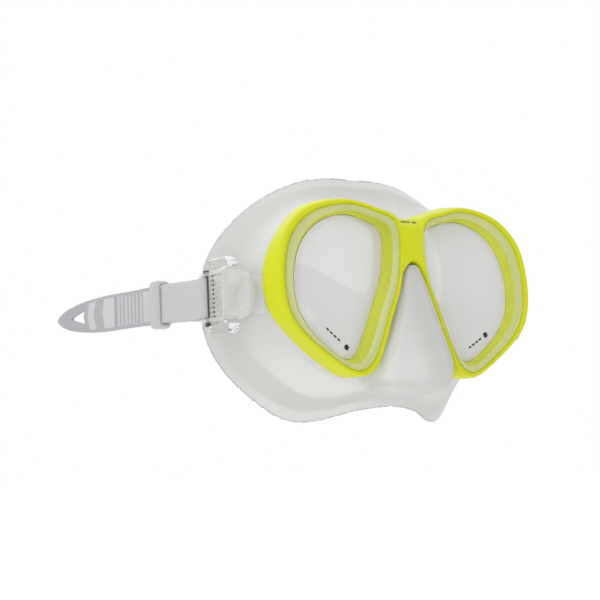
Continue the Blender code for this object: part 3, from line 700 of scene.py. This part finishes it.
def skirt_wall(plate_line, edge, share, shrink):
    """Loop of the side wall, a share of the way from the lens plate to the seal's edge."""
    flare = share ** WALL_FLARE
    loop = []
    for start, end in zip(plate_line, edge):
        x, z = start.x + (end.x - start.x) * flare, start.y + (end.y - start.y) * flare
        inward = Vector((-x, -z)).normalized() * shrink
        front = PLATE_Y + LEAN * start.y * MM
        y = front + (end.z * MM - front) * share
        loop.append(Vector((x * MM + inward.x, y, z * MM + inward.y)))
    return loop


def seal_loop(edge, share, depth):
    """Loop of the face seal, which curls in and forward from its edge."""
    loop = []
    for end in edge:
        curl = (SEAL_CURL * abs(end.x) + SEAL_DROP) * (1.0 - share)
        loop.append(Vector((end.x * share * MM, end.z * MM - curl - depth, end.y * share * MM)))
    return loop


def nose_loops(shrink):
    """Rows of the nose pocket from bottom to top, made smaller by shrink for its inside."""
    loops = []
    for z, half_width, ridge, front in open_curve(NOSE_SECTIONS, NOSE_ROWS):
        width = max(half_width - shrink, 0.9)
        tip = max(ridge - shrink, 0.5)
        ahead = front + shrink
        back = NOSE_BACK + 3.0 if shrink else NOSE_BACK
        height = z + shrink * (ease((-40.0 - z) / 5.0) - ease((z - 1.0) / 5.0))
        flank = (width + tip) / 2 + 0.6
        row = [(-width, back), (-width, NOSE_SIDE), (-flank, ahead + 2.6), (-tip, ahead + 0.7),
               (0.0, ahead), (tip, ahead + 0.7), (flank, ahead + 2.6), (width, NOSE_SIDE),
               (width, back)]
        loops.append([leaned(x * MM, y * MM, height * MM) for x, y in open_curve(row, NOSE_STEPS)])
    return loops


def tint_near(piece, places, reach, material):
    """The faces within reach of a line of places take a second material."""
    tree = kdtree.KDTree(len(places))
    for index, place in enumerate(places):
        tree.insert(place, index)
    tree.balance()
    piece.data.materials.append(material)
    for face in piece.data.polygons:
        if tree.find(face.center)[2] < reach:
            face.material_index = 1


def skirt_loops():
    """The skirt's skin in one go: out along the wall, round the seal's lip and back inside."""
    plate_line = mirrored_loop(SKIRT_PLATE, SKIRT_STEPS)
    edge = mirrored_loop(SEAL_EDGE, SKIRT_STEPS)
    outside = [skirt_wall(plate_line, edge, i / WALL_ROWS, 0.0) for i in range(WALL_ROWS + 1)]
    seal = [seal_loop(edge, 1.0 - SEAL_RUN * i / SEAL_ROWS, 0.0) for i in range(1, SEAL_ROWS + 1)]
    lip = [seal_loop(edge, 1.0 - SEAL_RUN + LIP_RUN * i / LIP_ROWS, SEAL_WALL) for i in range(LIP_ROWS + 1)]
    inside = [skirt_wall(plate_line, edge, INSIDE_START - INSIDE_RUN * i / INSIDE_ROWS, SKIRT_WALL)
              for i in range(INSIDE_ROWS + 1)]
    last = [Vector((p.x, PLATE_Y + PLATE_THICKNESS + LEAN * p.z, p.z)) for p in inside[-1]]
    return outside + seal + lip + inside[:-1] + [last]


def build_skirt(material, rim):
    skirt = add_object("skirt_mould", loft(skirt_loops()))
    join(skirt, add_object("nose_outer", loft(nose_loops(0.0))))
    cut(skirt, add_object("nose_inner", loft(nose_loops(SKIRT_WALL / MM))))
    ends = (PLATE_Y - 1.0 * MM, PLATE_Y + PLATE_THICKNESS + 1.0 * MM)
    for side in (1, -1):
        cut(skirt, window_loft("window", side, [(LENS_OPENING, y) for y in ends]))
    melt(skirt, SKIRT_VOXEL)
    finish_piece(skirt, material, "mask", "skirt")
    # Painted shade: a darker grey band along the face seal's edge, for its dark edge line.
    line = [Vector((p.x, p.z, p.y)) * MM for p in mirrored_loop(SEAL_EDGE, SKIRT_STEPS * 5)]
    tint_near(skirt, line, SEAL_SHADE_REACH, rim)


# ---------------- buckles

# A buckle has its own frame at the swivel: u outwards, v back and w up, tilted by SWIVEL_REST.
SWIVEL_Y = -21.0 * MM
SWIVEL_Z = -3.8 * MM
SWIVEL_REST = math.radians(-4.0)
PIVOT = Matrix.Translation((0.0, SWIVEL_Y, SWIVEL_Z)) @ Matrix.Rotation(SWIVEL_REST, 4, "X")
POST_RADIUS = 2.2 * MM
POST_SPAN = (60.0 * MM, 95.0 * MM)

# The anchor arm's inner face as (x, y) in mm, seen from above.
ARM_LINE = [(71.6, -34.8), (72.4, -31.0), (73.6, -27.4), (74.6, -24.0), (75.0, -13.0)]
ARM_STEPS = 24
ARM_THICKNESS = 1.6
ARM_HALF_HEIGHT = 8.4 * MM
BOSS_RADIUS = 4.4 * MM
BOSS_U = 76.0 * MM

BASE_U = 78.0 * MM
BASE_THICKNESS = 1.6 * MM
BASE_BACK_V = 10.6 * MM
BUCKLE_FRONT_V = -13.9 * MM
CHEEK_W = 9.5 * MM
CHEEK_THICKNESS = 1.6 * MM
CHEEK_ROUND = 1.4 * MM
CHEEK_V = -1.8 * MM
CHEEK_U_TOP = 87.2 * MM
BUCKLE_HALF = CHEEK_W + CHEEK_THICKNESS

COVER_U_TOP = 87.4 * MM
COVER_BACK_V = 3.0 * MM
COVER_WALL = 1.3 * MM

STRAP_THICKNESS = 1.8 * MM
ROLLER_U = 83.6 * MM
ROLLER_V = 15.8 * MM
ROLLER_RADIUS = 2.1 * MM
PIN_RADIUS = 0.9 * MM
PIN_HEAD = 1.35 * MM
PIN_HEAD_HALF = 0.7 * MM
PIN_END = 0.8 * MM

LATCH_U = 84.4 * MM
LATCH_V = 0.2 * MM
LATCH_HUB = 1.8 * MM
LATCH_TIP_V = ROLLER_V - ROLLER_RADIUS - STRAP_THICKNESS - 2 * GAP
COMB_RIDGES = 9
COMB_PITCH = 2.0 * MM
RIDGE_HALF = 0.5 * MM
# Sizes of the comb's painted shade marks, and of its painted shadow line along the tip.
COMB_SHADE_HALVES = (0.5 * MM, 0.45 * MM)
COMB_SHADOW_LINE_HALF = 0.15 * MM
COMB_SHADOW_LINE_DEPTH = 0.8 * MM

EAR_U = 82.8 * MM
EAR_V = 4.4 * MM
EAR_HALF_LENGTH = 8.8 * MM
EAR_HEIGHT = 4.4 * MM
# How much each section of an ear is drawn in, in mm, and its share of the ear's height.
EAR_SECTIONS = [(1.4, 0.0), (0.4, 0.06), (0.0, 0.2), (0.1, 0.42), (0.5, 0.62), (1.1, 0.78),
                (2.0, 0.90), (3.1, 0.97), (4.2, 1.0)]
STEM_U = 82.0 * MM
STEM_V = 5.6 * MM
STEM_HALF_U = 0.9 * MM
STEM_HALF_V = 1.8 * MM
BUTTON_TRAVEL = 1.2 * MM


def plate(name, side, outline, low, high):
    """Solid from an outline (v, w), between two distances u."""
    return extrude(name, outline, lambda v, w, u: Vector((side * u, v, w)), low, high)


def bar(name, side, outline, low, high):
    """Solid from an outline (u, v), between two heights w."""
    return extrude(name, outline, lambda u, v, w: Vector((side * u, v, w)), low, high)


def span(end, near, far):
    """Low and high ends of a stretch above (end 1) or below (end -1) the middle."""
    return sorted((end * near, end * far))


def d_outline(inset, back, steps=48):
    """The buckle's outline (v, w): round in front and square at the back."""
    half = BUCKLE_HALF - inset
    front = BUCKLE_FRONT_V + inset
    points = [(back, half)]
    for i in range(steps + 1):
        angle = math.pi / 2 + math.pi * i / steps
        points.append((front + half + half * math.cos(angle), half * math.sin(angle)))
    points.append((back, -half))
    return points


def pin_hole(side, centre, reach):
    return bar("hole", side, circle_outline(PIN_RADIUS + GAP, 32, centre), -reach, reach)


def post_hole(side, centre=(0.0, 0.0)):
    return plate("hole", side, circle_outline(POST_RADIUS + GAP, 32, centre), *POST_SPAN)


def turned(piece, material, body, node):
    """A piece in the buckle's own frame goes to its place beside the mask."""
    piece.data.transform(PIVOT)
    finish_piece(piece, material, body, node)


def build_anchor(side, suffix, clear):
    centre = (SWIVEL_Y, SWIVEL_Z)
    inner = [tuple(p) for p in open_curve(ARM_LINE, ARM_STEPS)]
    outline = inner + [(x + ARM_THICKNESS, y) for x, y in reversed(inner)]
    arm = bar("arm_" + suffix, side, [(x * MM, y * MM) for x, y in outline],
              SWIVEL_Z - ARM_HALF_HEIGHT, SWIVEL_Z + ARM_HALF_HEIGHT)
    join(arm, plate("boss", side, circle_outline(BOSS_RADIUS, 48, centre), BOSS_U, BASE_U - GAP))
    cut(arm, post_hole(side, centre))
    soften(arm, 0.35 * MM)
    finish_piece(arm, clear, "mask", "anchor_" + suffix)


def build_base(side, suffix, clear):
    base = plate("buckle_plate_" + suffix, side, d_outline(0.0, BASE_BACK_V), BASE_U,
                 BASE_U + BASE_THICKNESS)
    back = ROLLER_V + 3.0 * MM
    cheek = [(BASE_U + 0.6 * MM, CHEEK_V), (BASE_U + 0.6 * MM, back - 1.6 * MM),
             (BASE_U + 2.2 * MM, back), (CHEEK_U_TOP - 1.8 * MM, back),
             (CHEEK_U_TOP, back - 1.8 * MM), (CHEEK_U_TOP, CHEEK_V)]
    cheek = [tuple(p) for p in rounded(cheek, CHEEK_ROUND)]
    for end in (1, -1):
        join(base, bar("cheek", side, cheek, *span(end, CHEEK_W, BUCKLE_HALF)))
    reach = BUCKLE_HALF + 1.0 * MM
    cut(base, pin_hole(side, (ROLLER_U, ROLLER_V), reach), pin_hole(side, (LATCH_U, LATCH_V), reach),
        post_hole(side))
    stem_slot = rounded_box_outline(STEM_HALF_U + GAP, STEM_HALF_V + GAP, 0.5 * MM, 4, (STEM_U, STEM_V))
    for end in (1, -1):
        cut(base, bar("slot", side, stem_slot, *span(end, CHEEK_W - 1.0 * MM, reach)))
    soften(base, 0.25 * MM)
    turned(base, clear, "buckle_" + suffix, "buckle_base_" + suffix)


def cover_solid(name, side, inset):
    """The cover's outside, or with an inset the hollow in it; its top slopes down to the front."""
    low = BASE_U + BASE_THICKNESS + GAP
    top = COVER_U_TOP - inset
    back = 2.0 * MM if inset else CHEEK_V - GAP
    solid = plate(name, side, d_outline(inset, back), low - inset, COVER_U_TOP + 1.0 * MM)
    slope = [(low - inset - 1.0 * MM, BUCKLE_FRONT_V - 1.0 * MM),
             (low + 0.9 * MM - inset, BUCKLE_FRONT_V - 1.0 * MM),
             (low + 0.9 * MM - inset, BUCKLE_FRONT_V + inset),
             (top - 3.4 * MM, BUCKLE_FRONT_V + 3.4 * MM), (top - 1.4 * MM, BUCKLE_FRONT_V + 7.2 * MM),
             (top, BUCKLE_FRONT_V + 10.2 * MM), (top, COVER_BACK_V),
             (low - inset - 1.0 * MM, COVER_BACK_V)]
    combine(solid, bar("slope", side, slope, inset - BUCKLE_HALF, BUCKLE_HALF - inset), "INTERSECT")
    return solid


def build_cover(side, suffix, clear):
    cover = cover_solid("buckle_cap_" + suffix, side, 0.0)
    cut(cover, cover_solid("hollow", side, COVER_WALL))
    soften(cover, 0.4 * MM, 3, 25.0)
    turned(cover, clear, "buckle_" + suffix, "buckle_cover_" + suffix)


def build_button(side, suffix, level, end, clear):
    low = BUCKLE_HALF + BUTTON_TRAVEL + GAP
    loops = []
    for shrink, share in EAR_SECTIONS:
        outline = rounded_box_outline((3.3 - shrink * 0.45) * MM, EAR_HALF_LENGTH - shrink * MM,
                                      (1.9 - shrink * 0.35) * MM, 8, (EAR_U, EAR_V))
        w = end * (low + share * EAR_HEIGHT)
        loops.append([Vector((side * u, v, w)) for u, v in outline])
    ear = add_object("ear_" + level + "_" + suffix, loft(loops))
    stem = rounded_box_outline(STEM_HALF_U, STEM_HALF_V, 0.4 * MM, 4, (STEM_U, STEM_V))
    join(ear, bar("stem", side, stem, *span(end, CHEEK_W - 1.0 * MM, low + 1.0 * MM)))
    soften(ear, 0.2 * MM)
    turned(ear, clear, level + "_button_" + suffix, level + "_button_" + suffix)


def build_latch(side, suffix, clear, shade):
    half = CHEEK_W - 0.5 * MM
    tip = LATCH_TIP_V
    latch = bar("comb_" + suffix, side, circle_outline(LATCH_HUB, 40, (LATCH_U, LATCH_V)), -half, half)
    blade = [(LATCH_U - 0.1 * MM, LATCH_V), (LATCH_U + 0.2 * MM, tip),
             (LATCH_U + 1.1 * MM, tip), (LATCH_U + 1.5 * MM, LATCH_V)]
    join(latch, bar("blade", side, blade, -half, half))
    ridge = [(LATCH_U + 0.7 * MM, LATCH_V + 1.4 * MM), (LATCH_U + 0.7 * MM, tip - 0.5 * MM),
             (LATCH_U + 1.8 * MM, tip - 1.0 * MM), (LATCH_U + 2.1 * MM, LATCH_V + 2.0 * MM)]
    for i in range(COMB_RIDGES):
        middle = (i - (COMB_RIDGES - 1) / 2) * COMB_PITCH
        join(latch, bar("ridge", side, ridge, middle - RIDGE_HALF, middle + RIDGE_HALF))
    cut(latch, pin_hole(side, (LATCH_U, LATCH_V), half + 1.0 * MM))
    soften(latch, 0.15 * MM)
    turned(latch, clear, "latch_" + suffix, "latch_" + suffix)
    shade_comb(latch, side, half, shade)


def shade_comb(latch, side, half, shade):
    """Painted shade: dark marks between the comb's ridges, and a painted shadow line along its tip."""
    shaded_gaps = []
    for i in range(COMB_RIDGES + 1):
        w = (i - COMB_RIDGES / 2) * COMB_PITCH
        shaded_gaps.append((LATCH_TIP_V - 3.7 * MM, w, *COMB_SHADE_HALVES, 0.0))
    add_print(latch, shade, shaded_gaps,
              lambda v, w, lift: PIVOT @ Vector((side * (LATCH_U + 1.4 * MM + lift), v, w)))
    add_print(latch, shade, [(LATCH_TIP_V - 0.1 * MM, 0.0, COMB_SHADOW_LINE_HALF, half, 0.0)],
              lambda v, w, lift: PIVOT @ Vector((side * (LATCH_U + 2.1 * MM + lift), v, w)),
              COMB_SHADOW_LINE_DEPTH)


def build_roller(side, suffix, clear):
    half = CHEEK_W - 0.6 * MM
    centre = (ROLLER_U, ROLLER_V)
    roller = bar("roller_" + suffix, side, circle_outline(ROLLER_RADIUS, 48, centre), -half, half)
    cut(roller, pin_hole(side, centre, half + 1.0 * MM))
    soften(roller, 0.25 * MM)
    turned(roller, clear, "roller_" + suffix, "strap_roller_" + suffix)


def build_pin(name, side, suffix, centre, end, steel):
    """A pin between the cheeks; the roller's pin has a head at each end."""
    pin = bar(name + "rod_" + suffix, side, circle_outline(PIN_RADIUS, 32, centre), -end, end)
    if name == "roller_pin_":
        for way in (1, -1):
            join(pin, bar("head", side, circle_outline(PIN_HEAD, 32, centre),
                          *span(way, end - PIN_HEAD_HALF, end + PIN_HEAD_HALF)))
    soften(pin, 0.2 * MM)
    turned(pin, steel, "buckle_" + suffix, name + suffix)


# ---------------- strap

STRAP_WIDTH = 17.8 * MM
# The band's middle line round the roller, and the space between its layers in the keeper.
WRAP_RADIUS = ROLLER_RADIUS + GAP + STRAP_THICKNESS / 2
LAYER_GAP = 1.2 * MM
WRAP_STEPS = 24
PATH_STEPS = 150
ACROSS_STEPS = 22
EDGE_ROUND = 0.5 * MM
EDGE_DROP = 0.45 * MM

KEEPER_V = 53.0 * MM
KEEPER_W = 1.3 * MM
KEEPER_ROUND = 2.2 * MM
# Stations along a keeper: place along the strap, and how far its outside grows there, in mm.
KEEPER_STATIONS = [(-4.0, -1.35), (-3.6, -0.85), (-2.8, -0.35), (-1.6, 0.0), (1.4, 0.05),
                   (2.8, -0.15), (3.6, -0.6), (4.0, -1.2)]
KEEPER_TIGHT = 0.08

TAIL_WIDTH = 17.2 * MM
TAIL_TIP_V = 133.4 * MM
TAIL_TAPER = 45.0 * MM
TAIL_LIFT = 0.008
TAIL_SPLAY = 0.09
TAIL_STEP = 0.35 * MM
TAIL_FACE_V = 20.0 * MM
# How far a tail's hole is from its tip, at its blunt and its sharp end, and half its height.
TAIL_HOLE_BLUNT = 22.6 * MM
TAIL_HOLE_SHARP = 11.2 * MM
TAIL_HOLE_HALF = 3.6 * MM

# A tail's outer face, in mm back from its tip: a sunk face with a collar, a pad and ribs.
FACE_START = 7.0
FACE_MARGIN = 1.5
FACE_DEPTH = 0.45
STEP_SOFT = 0.5
COLLAR_MIDDLE = 30.0
COLLAR_HALF = 2.6
COLLAR_SLANT = 2.6
PAD_START = 38.9
PAD_STOP = 47.6
PAD_SLANT = 1.8
PAD_HEIGHT = 0.65
RIB_START = 49.0
RIB_STOP = 69.3
RIB_END = 84.1
RIB_PITCH = 2.9
FINE_RIB_PITCH = 1.45
FINE_RIB_HEIGHT = 0.08

BACK_V = 80.0 * MM
# From the buckle's side round to the middle of the head's back: u, and v from BACK_V, in mm.
BACK_BEND = [(82.0, -14.6), (76.6, -9.4), (68.0, -5.6), (57.0, -3.4), (46.0, -2.0), (35.0, -1.1),
             (24.0, -0.5), (12.0, -0.1), (0.0, 0.0)]
RISE_V = 60.0 * MM
RISE_RUN = 18.0 * MM
BACK_RISE = 6.2 * MM
HEADBAND_WIDTH = 42.0 * MM
HEADBAND_HALF_U = 46.0 * MM
HEADBAND_RUN = 22.0 * MM
SPLIT_HALVES = (30.0 * MM, 6.4 * MM)
SPLIT_STEPS = 64
SPLIT_REACH = 12.0


def tail_u(v):
    """How far out a tail's middle line is."""
    return ROLLER_U + WRAP_RADIUS - 0.4 * MM + TAIL_SPLAY * max(0.0, v - KEEPER_V - 6.0 * MM)


def half_path():
    """Points (u, v, on_tail) of the band's middle line from a tail's tip to the head's back."""
    points = []
    back = TAIL_TIP_V
    while back > KEEPER_V - 28.0 * MM:
        points.append((tail_u(back), back, 1.0))
        back -= TAIL_STEP
    points.append((tail_u(ROLLER_V + 8.0 * MM), ROLLER_V + 8.0 * MM, 1.0))
    for i in range(WRAP_STEPS + 1):
        angle = math.pi * i / WRAP_STEPS
        points.append((ROLLER_U + WRAP_RADIUS * math.cos(angle),
                       ROLLER_V - WRAP_RADIUS * math.sin(angle), 1.0))
    inner = tail_u(0.0) - STRAP_THICKNESS - LAYER_GAP
    turn = [(ROLLER_U - WRAP_RADIUS, ROLLER_V), (ROLLER_U - WRAP_RADIUS, ROLLER_V + 5.0 * MM),
            (inner - 1.4 * MM, KEEPER_V - 24.0 * MM), (inner, KEEPER_V - 7.0 * MM),
            (inner, KEEPER_V + 7.0 * MM)]
    turn += [(u * MM, BACK_V + v * MM) for u, v in BACK_BEND]
    for u, v in open_curve(turn, PATH_STEPS)[1:]:
        points.append((u, v, 0.0))
    return points


def band_edges(u, v, on_tail):
    """Height of the band's middle line, and half its width, at a place of its path."""
    half = STRAP_WIDTH / 2
    middle = KEEPER_W * ease((v - ROLLER_V) / (KEEPER_V - ROLLER_V))
    if on_tail:
        half += (TAIL_WIDTH / 2 - half) * ease((v - KEEPER_V) / (20.0 * MM))
        left = min((TAIL_TIP_V - v) / TAIL_TAPER, 1.0)
        half *= math.sqrt(max(1.0 - (1.0 - left) ** 2, 0.0004))
        middle += TAIL_LIFT * max(0.0, v - KEEPER_V)
    elif v > RISE_V:
        middle += (BACK_RISE - KEEPER_W) * ease((v - RISE_V) / RISE_RUN)
        half += (HEADBAND_WIDTH / 2 - half) * ease((HEADBAND_HALF_U - abs(u)) / HEADBAND_RUN)
    return middle, half


def tail_pattern(v, across, half):
    """Distance from the tip, how far inside the edges, and how much of a pad, collar or rib."""
    back = (TAIL_TIP_V - v) / MM
    inside = ease(((half - abs(across)) / MM - FACE_MARGIN) / STEP_SOFT)
    slant = 1.0 - abs(across) / max(half, 1e-6)
    pad = ease((back + PAD_SLANT * slant - PAD_START) / STEP_SOFT) * ease((PAD_STOP - back) / STEP_SOFT)
    collar = bump_at(back + COLLAR_SLANT * slant, COLLAR_MIDDLE, COLLAR_HALF, STEP_SOFT)
    rib = 0.0
    if RIB_START < back < RIB_STOP:
        rib = 0.5 - 0.5 * math.cos(2 * math.pi * (back - RIB_START) / RIB_PITCH)
    elif RIB_STOP <= back < RIB_END:
        rib = ease((back - RIB_STOP) / 0.6)
    return back, inside, pad, collar, rib


def tail_relief(v, across, half):
    """Height of the outer face above or below the band's own face, from its pads and ribs."""
    back, inside, pad, collar, rib = tail_pattern(v, across, half)
    height = -FACE_DEPTH * ease((back - FACE_START) / 3.0) * (1.0 - ease((back - RIB_END) / 2.0))
    height += PAD_HEIGHT * pad + FACE_DEPTH * collar + FACE_DEPTH * rib
    if back >= RIB_END:
        height += FINE_RIB_HEIGHT * math.cos(2 * math.pi * back / FINE_RIB_PITCH)
    return height * inside * MM


def band_row(u, v, on_tail, normal):
    """Loop round the band's section at a place of its path."""
    middle, half = band_edges(u, v, on_tail)
    round_edge = min(EDGE_ROUND, half * 0.5)
    row = []
    for face in (1.0, -1.0):
        for k in range(ACROSS_STEPS + 1):
            across = (1.0 - 2.0 * k / ACROSS_STEPS) * face * half
            drop = EDGE_DROP * (1.0 - ease((half - abs(across)) / round_edge)) ** 2
            lift = STRAP_THICKNESS / 2 - drop
            if on_tail and face < 0 and v > TAIL_FACE_V:
                lift += tail_relief(v, across, half)
            spot = Vector((u, v)) + normal * lift * face
            row.append(Vector((spot.x, spot.y, middle + across)))
    return row


def split_cutter():
    """The opening between the headband's two bands at the back of the head."""
    ring = []
    for i in range(SPLIT_STEPS):
        angle = 2 * math.pi * i / SPLIT_STEPS
        ring.append((SPLIT_HALVES[0] * math.cos(angle), BACK_RISE + SPLIT_HALVES[1] * math.sin(angle)))
    return add_object("split", loft([[Vector((u, BACK_V + depth * MM, w)) for u, w in ring]
                                     for depth in (-SPLIT_REACH, SPLIT_REACH)]))


def tail_hole(side):
    blunt, sharp = TAIL_TIP_V - TAIL_HOLE_BLUNT, TAIL_TIP_V - TAIL_HOLE_SHARP
    middle = KEEPER_W + TAIL_LIFT * (TAIL_TIP_V - KEEPER_V)
    hole = [(blunt, middle + TAIL_HOLE_HALF), (blunt + 1.4 * MM, middle),
            (blunt, middle - TAIL_HOLE_HALF), (sharp, middle - 0.6 * MM), (sharp, middle + 0.6 * MM)]
    hole = [tuple(p) for p in rounded(hole, 0.9 * MM, 5)]
    return plate("tail_hole", side, hole, 80.0 * MM, 110.0 * MM)


def shade_tails(strap, tail_shade):
    """The recessed faces and the rim of both tails take a darker grey as painted shade; their pads, collar
    and ribs stay lighter.
    """
    strap.data.materials.append(tail_shade)
    home = PIVOT.inverted()
    for face in strap.data.polygons:
        spot = home @ face.center
        if spot.y < KEEPER_V + 2.0 * MM or abs(spot.x) < tail_u(spot.y) - STRAP_THICKNESS:
            continue
        middle, half = band_edges(abs(spot.x), spot.y, 1.0)
        _, inside, pad, collar, rib = tail_pattern(spot.y, spot.z - middle, half)
        if max(pad, collar, rib) * inside < 0.5:
            face.material_index = 1


def build_strap(material, tail_shade):
    """One band from tail to tail, round both rollers and the back of the head."""
    path = [(-u, v, tail) for u, v, tail in half_path()]
    path += [(-u, v, tail) for u, v, tail in path[-2::-1]]
    loops = []
    for i, (u, v, on_tail) in enumerate(path):
        before, after = path[max(i - 1, 0)], path[min(i + 1, len(path) - 1)]
        direction = Vector((after[0] - before[0], after[1] - before[1])).normalized()
        loops.append(band_row(u, v, on_tail, Vector((-direction.y, direction.x))))
    strap = add_object("strap_band", loft(loops), SOFT_SHARP_ANGLE)
    cut(strap, split_cutter(), tail_hole(1), tail_hole(-1))
    turned(strap, material, "buckle_right", "strap")
    shade_tails(strap, tail_shade)


def build_keeper(side, suffix, material):
    """A soft loop with a rounded outside and an opening that grips the strap at its ends."""
    centre = (tail_u(0.0) - STRAP_THICKNESS / 2 - LAYER_GAP / 2, KEEPER_W)
    rows = []
    for v, grow in KEEPER_STATIONS:
        rows.append((v, (4.1 + grow) * MM, STRAP_WIDTH / 2 + (2.2 + grow) * MM, KEEPER_ROUND))
    for v, _ in reversed(KEEPER_STATIONS):
        tight = KEEPER_TIGHT * ease((abs(v) - 2.6) / 1.2)
        rows.append((v, (2.65 - tight) * MM, STRAP_WIDTH / 2 + (0.45 - 2 * tight) * MM, 0.9 * MM))
    loops = []
    for v, half_u, half_w, radius in rows:
        outline = rounded_box_outline(half_u, half_w, radius, 8, centre)
        loops.append([Vector((side * u, KEEPER_V + v * MM, w)) for u, w in outline])
    keeper = add_object("keeper_loop_" + suffix, loft(loops, closed_path=True), SOFT_SHARP_ANGLE)
    turned(keeper, material, "keeper_" + suffix, "keeper_" + suffix)


# ---------------- the whole mask

def paint_kept_nodes(clear, spring):
    """The CAD nodes that show as they are take the mask's own plastic and steel."""
    for name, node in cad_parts.items():
        if name.startswith(("swivel_post", "swivel_washer", "button_spring", "latch_spring")):
            node.data.materials.clear()
            node.data.materials.append(clear if name.startswith("swivel") else spring)


def build_buckle(side, suffix, paint):
    sheet, clear, steel = paint["sheet"], paint["clear"], paint["steel"]
    build_anchor(side, suffix, sheet)
    build_base(side, suffix, sheet)
    build_cover(side, suffix, sheet)
    build_button(side, suffix, "upper", 1, clear)
    build_button(side, suffix, "lower", -1, clear)
    build_latch(side, suffix, sheet, paint["shade"])
    build_roller(side, suffix, clear)
    build_pin("roller_pin_", side, suffix, (ROLLER_U, ROLLER_V), BUCKLE_HALF + PIN_END, steel)
    build_pin("latch_pin_", side, suffix, (LATCH_U, LATCH_V), BUCKLE_HALF, steel)


def main():
    add_camera()
    add_studio()
    paint = make_materials()
    build_frame(paint["yellow"], paint["mark_paint"])
    build_skirt(paint["silicone"], paint["rim"])
    build_windows(paint)
    build_strap(paint["band"], paint["tail_shade"])
    for side, suffix in SIDES:
        build_buckle(side, suffix, paint)
        build_keeper(side, suffix, paint["band"])
    paint_kept_nodes(paint["clear"], paint["spring"])


main()
